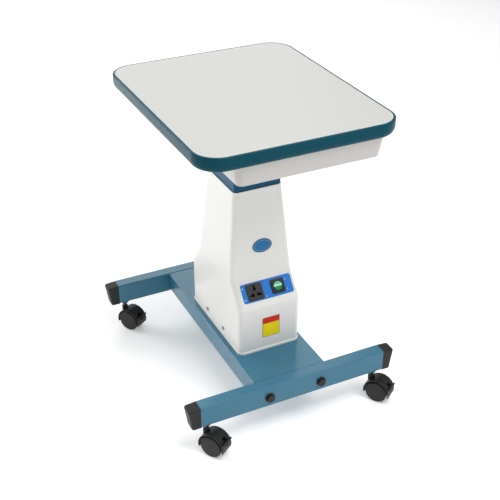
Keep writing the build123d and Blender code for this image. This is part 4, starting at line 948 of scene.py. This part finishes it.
# %% The casters' threaded stems
low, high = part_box("caster_stem_front_left")
foot_z, end_z = low.z / MM, high.z / MM
flange_z, tube_z = 55.75, 75.0
upper_rod = [(0, end_z), (3.6, end_z), (4.3, end_z - 0.9), (4.3, flange_z + 2.0)]
flange = [(6.1, flange_z + 2.0), (6.5, flange_z + 1.6), (6.5, flange_z + 0.3), (6.2, flange_z)]
lower_pin = [(4.0, flange_z), (4.0, foot_z + 0.8), (3.3, foot_z), (0, foot_z)]
stem_core = tool("stem_core_part", turned("stem_core_part", upper_rod + flange + lower_pin, 28))
stem_ridge = wind("stem_ridge_part", core=4.3, crest=5.0, pitch=1.5, foot=flange_z + 3.2,
                  head=end_z - 0.8, flat=0.2, material=zinc)
stem_nodes = [f"caster_stem_{corner}" for corner in corners]
stem_places = [(*axis_of(name), 0) for name in stem_nodes]
upright = [(0, 0, 1.0)] * len(stem_places)
stem_rods = copy_to("caster_stem_rods", stem_core, stem_places, upright, black_zinc, seed=4)
bpy.data.objects.remove(stem_core)
settle(stem_rods, "base", black_zinc, *stem_nodes)
stem_threads = copy_to("caster_stem_threads", stem_ridge, stem_places, upright, black_zinc, seed=4)
bpy.data.objects.remove(stem_ridge)
settle(stem_threads, "base", black_zinc, *stem_nodes)
nut_places = [(x, y, z * MM) for x, y, _ in stem_places for z in (tube_z - 4.0, tube_z + 6.0)]
stem_nuts = copy_to("caster_stem_nuts", nut_m10, nut_places, upright * 2, black_zinc, seed=9)
settle(stem_nuts, "base", black_zinc, *stem_nodes)
bpy.data.objects.remove(nut_m10)

# %% [markdown]
# ## Weld beads
#
# The gussets are welded to the mast and to the head plate. A bead is a rope of small overlapping
# ripples: a round section swept along the seam, whose size rises and falls every millimetre and a
# half.

# %% Lay a bead along a seam
bead = Recipe("weld_bead")
ripple = bead.ask("Ripple")
seam = bead.node("GeometryNodeMeshToCurve", {"Mesh": bead.given()})
stepped = bead.node("GeometryNodeResampleCurve", {"Curve": seam, "Length": ripple / 4.0},
                    mode="LENGTH")
run = bead.node("GeometryNodeSplineParameter", {}, "Length")
wave = bead.node("ShaderNodeMath", {0: run / ripple * (2 * pi)}, operation="SINE")
place = bead.node("GeometryNodeInputPosition", {})
drift = bead.node("ShaderNodeTexNoise", {"Vector": place, "Scale": 260.0, "Detail": 1.0}, "Fac")
round_bar = bead.node("GeometryNodeCurvePrimitiveCircle",
                      {"Resolution": 8, "Radius": bead.ask("Bead radius")})
size = 0.82 + abs(wave) * 0.16 + drift * 0.3
bead.finish(bead.node("GeometryNodeCurveToMesh",
                      {"Curve": stepped, "Profile Curve": round_bar, "Scale": size,
                       "Fill Caps": True}))

# %% Seams of the six gussets
mast_low, mast_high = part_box("lift_mast")
axis_x, axis_y = axis_of("lift_mast")
half_x, half_y = (mast_high.x - mast_low.x) / 2, (mast_high.y - mast_low.y) / 2
rib_half, rib_reach, rib_drop = 2.0 * MM, 56.0 * MM, 47.0 * MM
side_spread, back_spread = 45.0 * MM, 30.0 * MM
sink = 0.7 * MM
x_way, y_way = Vector((1, 0, 0)), Vector((0, 1, 0))
gussets = [(x_way * side, y_way, half_x, step * side_spread) for side in (-1, 1) for step in (-1, 1)]
gussets += [(y_way, x_way, half_y, step * back_spread) for step in (-1, 1)]
seam_points, seam_links = [], []
for out, across, root, along in gussets:
    for face in (-1, 1):
        start = Vector((axis_x, axis_y, mast_high.z - sink))
        start += across * (along + face * (rib_half + sink))
        first = len(seam_points)
        foot = start + out * (root + sink)
        seam_points += [foot - Vector((0, 0, rib_drop)), foot, start + out * (root + rib_reach)]
        seam_links += [(first, first + 1), (first + 1, first + 2)]
seams = points_with("gusset_seams", seam_points, seam_links)
beads = bead.cook("gusset_welds", seams, Ripple=1.6 * MM, Bead_radius=1.9 * MM, Finish=weld_blue)
settle(beads, "mast", weld_blue, slot="frame_paint")

# %% [markdown]
# ## The switch and its bezel
#
# The rocker is a round lens with a shallow valley across it, so that a finger tips it either way. Its
# upper half is painted pale green as a painted highlight, with a brighter painted highlight stripe
# just above the valley, and its lower half is deep green. A lamp glows behind it, and the glow carries
# some of the painted highlight. The bezel is a square frame with a low collar round the lens: its
# rings go from a square outside to a circle inside.

# %% The lens: painted highlight, pale green above with a bright stripe, deep green below
def lens_green():
    face = face_of("switch_bezel", (0, -1, 1))
    # pale and bright are painted highlight colours; deep is the lens's own green
    pale, bright, deep = paint(112, 192, 152), paint(206, 242, 222), paint(6, 122, 78)
    finish = Finish("lens_green", deep, 0.3, mirror=0.12)
    up, middle = face.col[1], face.translation
    height = (finish.axis("Y") - middle.y) * up.y + (finish.axis("Z") - middle.z) * up.z
    # the upper half, and a stripe just above the valley, get the painted highlight
    painted_highlight_half = height > -0.3 * MM
    painted_highlight_stripe = painted_highlight_half * (height < 2.4 * MM)
    cloud = finish.noise(90.0, 2.0)
    lens_colour_with_painted_highlight = finish.mix(painted_highlight_stripe, finish.mix(painted_highlight_half, deep, pale), bright)
    finish.set("Base Color", lens_colour_with_painted_highlight)
    finish.set("Roughness", 0.26 + cloud * 0.1)
    # the glow takes part of its colour from the painted highlight
    finish.set("Emission Color", finish.mix(0.6, lens_colour_with_painted_highlight, deep))
    finish.set("Emission Strength", 0.25)
    return finish.done()


rocker_green = lens_green()

# %% Bezel
bezel_half = half_width("switch_bezel")
switch_face = face_of("switch_bezel", (0, -1, 1))
body_half, flange, corner, ease = 12.25, 2.6, 4.2, 0.9
bezel_rings = [square(body_half, 1.5, -18.4), square(body_half, 1.5, -flange),
               square(bezel_half, corner, -flange), square(bezel_half, corner, -ease)]
bezel_rings += eased_edge(bezel_half, corner, ease)
collar = [(12.6, 0.0), (12.4, 0.5), (12.0, 0.8), (11.3, 0.8), (10.9, 0.5), (10.7, 0.0), (10.7, -15.0)]
bezel_rings += [circle(radius, height) for radius, height in collar]
bezel = add("switch_frame", skin("switch_frame", bezel_rings))
settle(bezel, "base", bezel_black, "switch_bezel", place=switch_face)

# %% Rocker lens
lens_radius, lens_top, valley, blend = 9.9, 2.5, 1.6, 0.7
lens_rings = [circle(lens_radius, -7.0)]
rounding = [(1.0, 0.8), (0.985, 0.45), (0.95, 0.2), (0.9, 0.05)]
for share, drop in rounding + [(share / 10, 0.0) for share in range(8, 0, -1)]:
    ring = []
    for point in circle(lens_radius * share, 0.0):
        rise = hypot(point.y / MM, blend) / lens_radius
        ring.append(Vector((point.x, point.y, (lens_top - valley + valley * rise - drop) * MM)))
    lens_rings.append(ring)
rocker = add("rocker_lens", skin("rocker_lens", lens_rings))
settle(rocker, "rocker", rocker_green, "switch_rocker", place=switch_face)

# %% [markdown]
# ## The outlet
#
# A universal outlet takes round, flat and slanted pins, so its openings are crossed slots. They are
# real pockets: short bars are copied to points that carry a size and a turn, and cut out of the face.

# %% Cut slots where the points say
slots = Recipe("cut_slots")
bar = slots.node("GeometryNodeMeshCube", {"Size": (1.0, 1.0, 1.0)})
slot_turn = slots.node("FunctionNodeAxisAngleToRotation",
                       {"Axis": (0.0, 0.0, 1.0), "Angle": slots.attribute("turn")})
bar_size = slots.attribute("bar_size", "FLOAT_VECTOR")
bars = slots.node("GeometryNodeInstanceOnPoints",
                  {"Points": slots.given(), "Instance": bar, "Rotation": slot_turn, "Scale": bar_size})
real_bars = slots.node("GeometryNodeRealizeInstances", {"Geometry": bars})
uncut = slots.node("GeometryNodeObjectInfo", {"Object": slots.ask("Body", "Object")}, "Geometry")
cut = {"Mesh 1": uncut, "Mesh 2": real_bars, "Self Intersection": True}
slots.finish(slots.node("GeometryNodeMeshBoolean", cut, operation="DIFFERENCE", solver="EXACT"))

# %% Outlet body with its crossed slots
outlet_half = half_width("outlet_socket")
body_half, flange, corner, ease = 16.0, 2.4, 3.0, 0.8
outlet_rings = [square(body_half, 1.5, -21.2), square(body_half, 1.5, -flange),
                square(outlet_half, corner, -flange), square(outlet_half, corner, -ease)]
outlet_rings += eased_edge(outlet_half, corner, ease)
outlet_rings += [square(15.6, 2.0, 0.0), square(15.3, 2.0, -0.4)]
outlet_body = tool("outlet_body_part", skin("outlet_body_part", outlet_rings))
cuts = [((0.0, 8.4), (4.0, 12.6), 0), ((0.0, 6.8), (7.4, 4.6), 20)]
for side in (-1, 1):
    cuts += [((side * 8.4, -7.6), (11.0, 4.2), side * 6), ((side * 6.6, -5.6), (4.4, 6.0), side * 30)]
slot_start = points_with("slot_places", [(x * MM, y * MM, -4.0 * MM) for (x, y), _, _ in cuts],
                         bar_size=[(wide * MM, high * MM, 14 * MM) for _, (wide, high), _ in cuts],
                         turn=[radians(angle) for _, _, angle in cuts])
outlet = slots.cook("outlet_face", slot_start, Body=outlet_body, Finish=outlet_brown)
bpy.data.objects.remove(outlet_body)
settle(outlet, "base", outlet_brown, "outlet_socket", place=face_of("outlet_socket", (0, -1, 1)))

# %% [markdown]
# ## Print and badge
#
# The panel carries two small arrowheads beside the switch and three dots, all generic. They are
# printed, so they stand only a few hundredths of a millimetre proud. The badge on the column is a
# plain enamelled oval with a raised rim and, just inside the rim, one thin pale line.

# %% Printed marks
label_face = face_of("control_label", (0, -1, 1))
ink = 0.06 * MM


def mark(name, sides, size, x, y, first=0.0):
    """A small printed polygon; with many sides it is a dot."""
    turns = [radians(first) + 2 * pi * side / sides for side in range(sides)]
    edge = [(x * MM + size * MM * cos(turn), y * MM + size * MM * sin(turn)) for turn in turns]
    return skin(name, [[Vector((*point, height)) for point in edge] for height in (-ink, ink)])


def joined(name, meshes):
    """Several meshes as one."""
    work = bmesh.new()
    for mesh in meshes:
        work.from_mesh(mesh)
    whole = bpy.data.meshes.new(name)
    work.to_mesh(whole)
    work.free()
    return whole


arrows = [mark("arrow_up", 3, 1.9, 46.0, 10.1, 90), mark("arrow_down", 3, 1.9, 46.0, -11.1, -90)]
dots = [mark("dot", 16, 1.2, x, y) for x, y in ((-56.0, 12.3), (-55.6, -13.6), (-5.5, -15.8))]
panel_marks = add("panel_marks", joined("panel_marks", arrows + dots))
settle(panel_marks, "base", print_pale, place=label_face, slot="label_film")

# %% Badge
badge_face = face_of("oval_badge", (0, -1, 0.4))
half_wide = half_width("oval_badge")
half_tall = half_wide * 31.5 / 45.5


def drawn_in(inset, height):
    """The badge's outline, drawn in by an inset at one height."""
    return oval(half_wide - inset, half_tall - inset, height)


def badge_piece(name, rings, enamel):
    settle(add(name, skin(name, rings)), "base", enamel, "oval_badge", place=badge_face)


rim_section = ((0.0, -1.2), (0.0, -0.5), (0.15, -0.15), (0.5, 0.0), (1.1, 0.0), (1.5, -0.15),
               (1.7, -0.5))
line_section = ((3.3, -0.6), (3.3, -0.24), (3.9, -0.2), (3.9, -0.6))
field_rings = [drawn_in(1.6, -0.8), drawn_in(1.7, -0.4)]
for share in (0.85, 0.6, 0.35, 0.1):
    height = -0.4 + 0.35 * (1 - share ** 2)
    field_rings.append(oval((half_wide - 1.7) * share, (half_tall - 1.7) * share, height))
badge_piece("badge_rim", [drawn_in(*point) for point in rim_section], badge_dark)
badge_piece("badge_field", field_rings, badge_blue)
badge_piece("badge_line", [drawn_in(*point) for point in line_section], badge_line)

# %% [markdown]
# ## The floor
#
# One wide pale sheet, marked as stage so that it isn't part of the object.

# %% Floor
floor_mesh = bpy.data.meshes.new("floor")
sheet = bmesh.new()
bmesh.ops.create_grid(sheet, x_segments=1, y_segments=1, size=30.0)
sheet.to_mesh(floor_mesh)
sheet.free()
floor_pale = Finish("floor_pale", (0.93, 0.93, 0.93), 0.7, mirror=0.3)
floor_pale.set("Emission Color", (1.0, 1.0, 1.0, 1.0))
floor_pale.set("Emission Strength", 0.27)
floor_mesh.materials.append(floor_pale.material)
add("floor", floor_mesh)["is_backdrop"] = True

low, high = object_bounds()
print("visual size", [round(v, 4) for v in high - low])
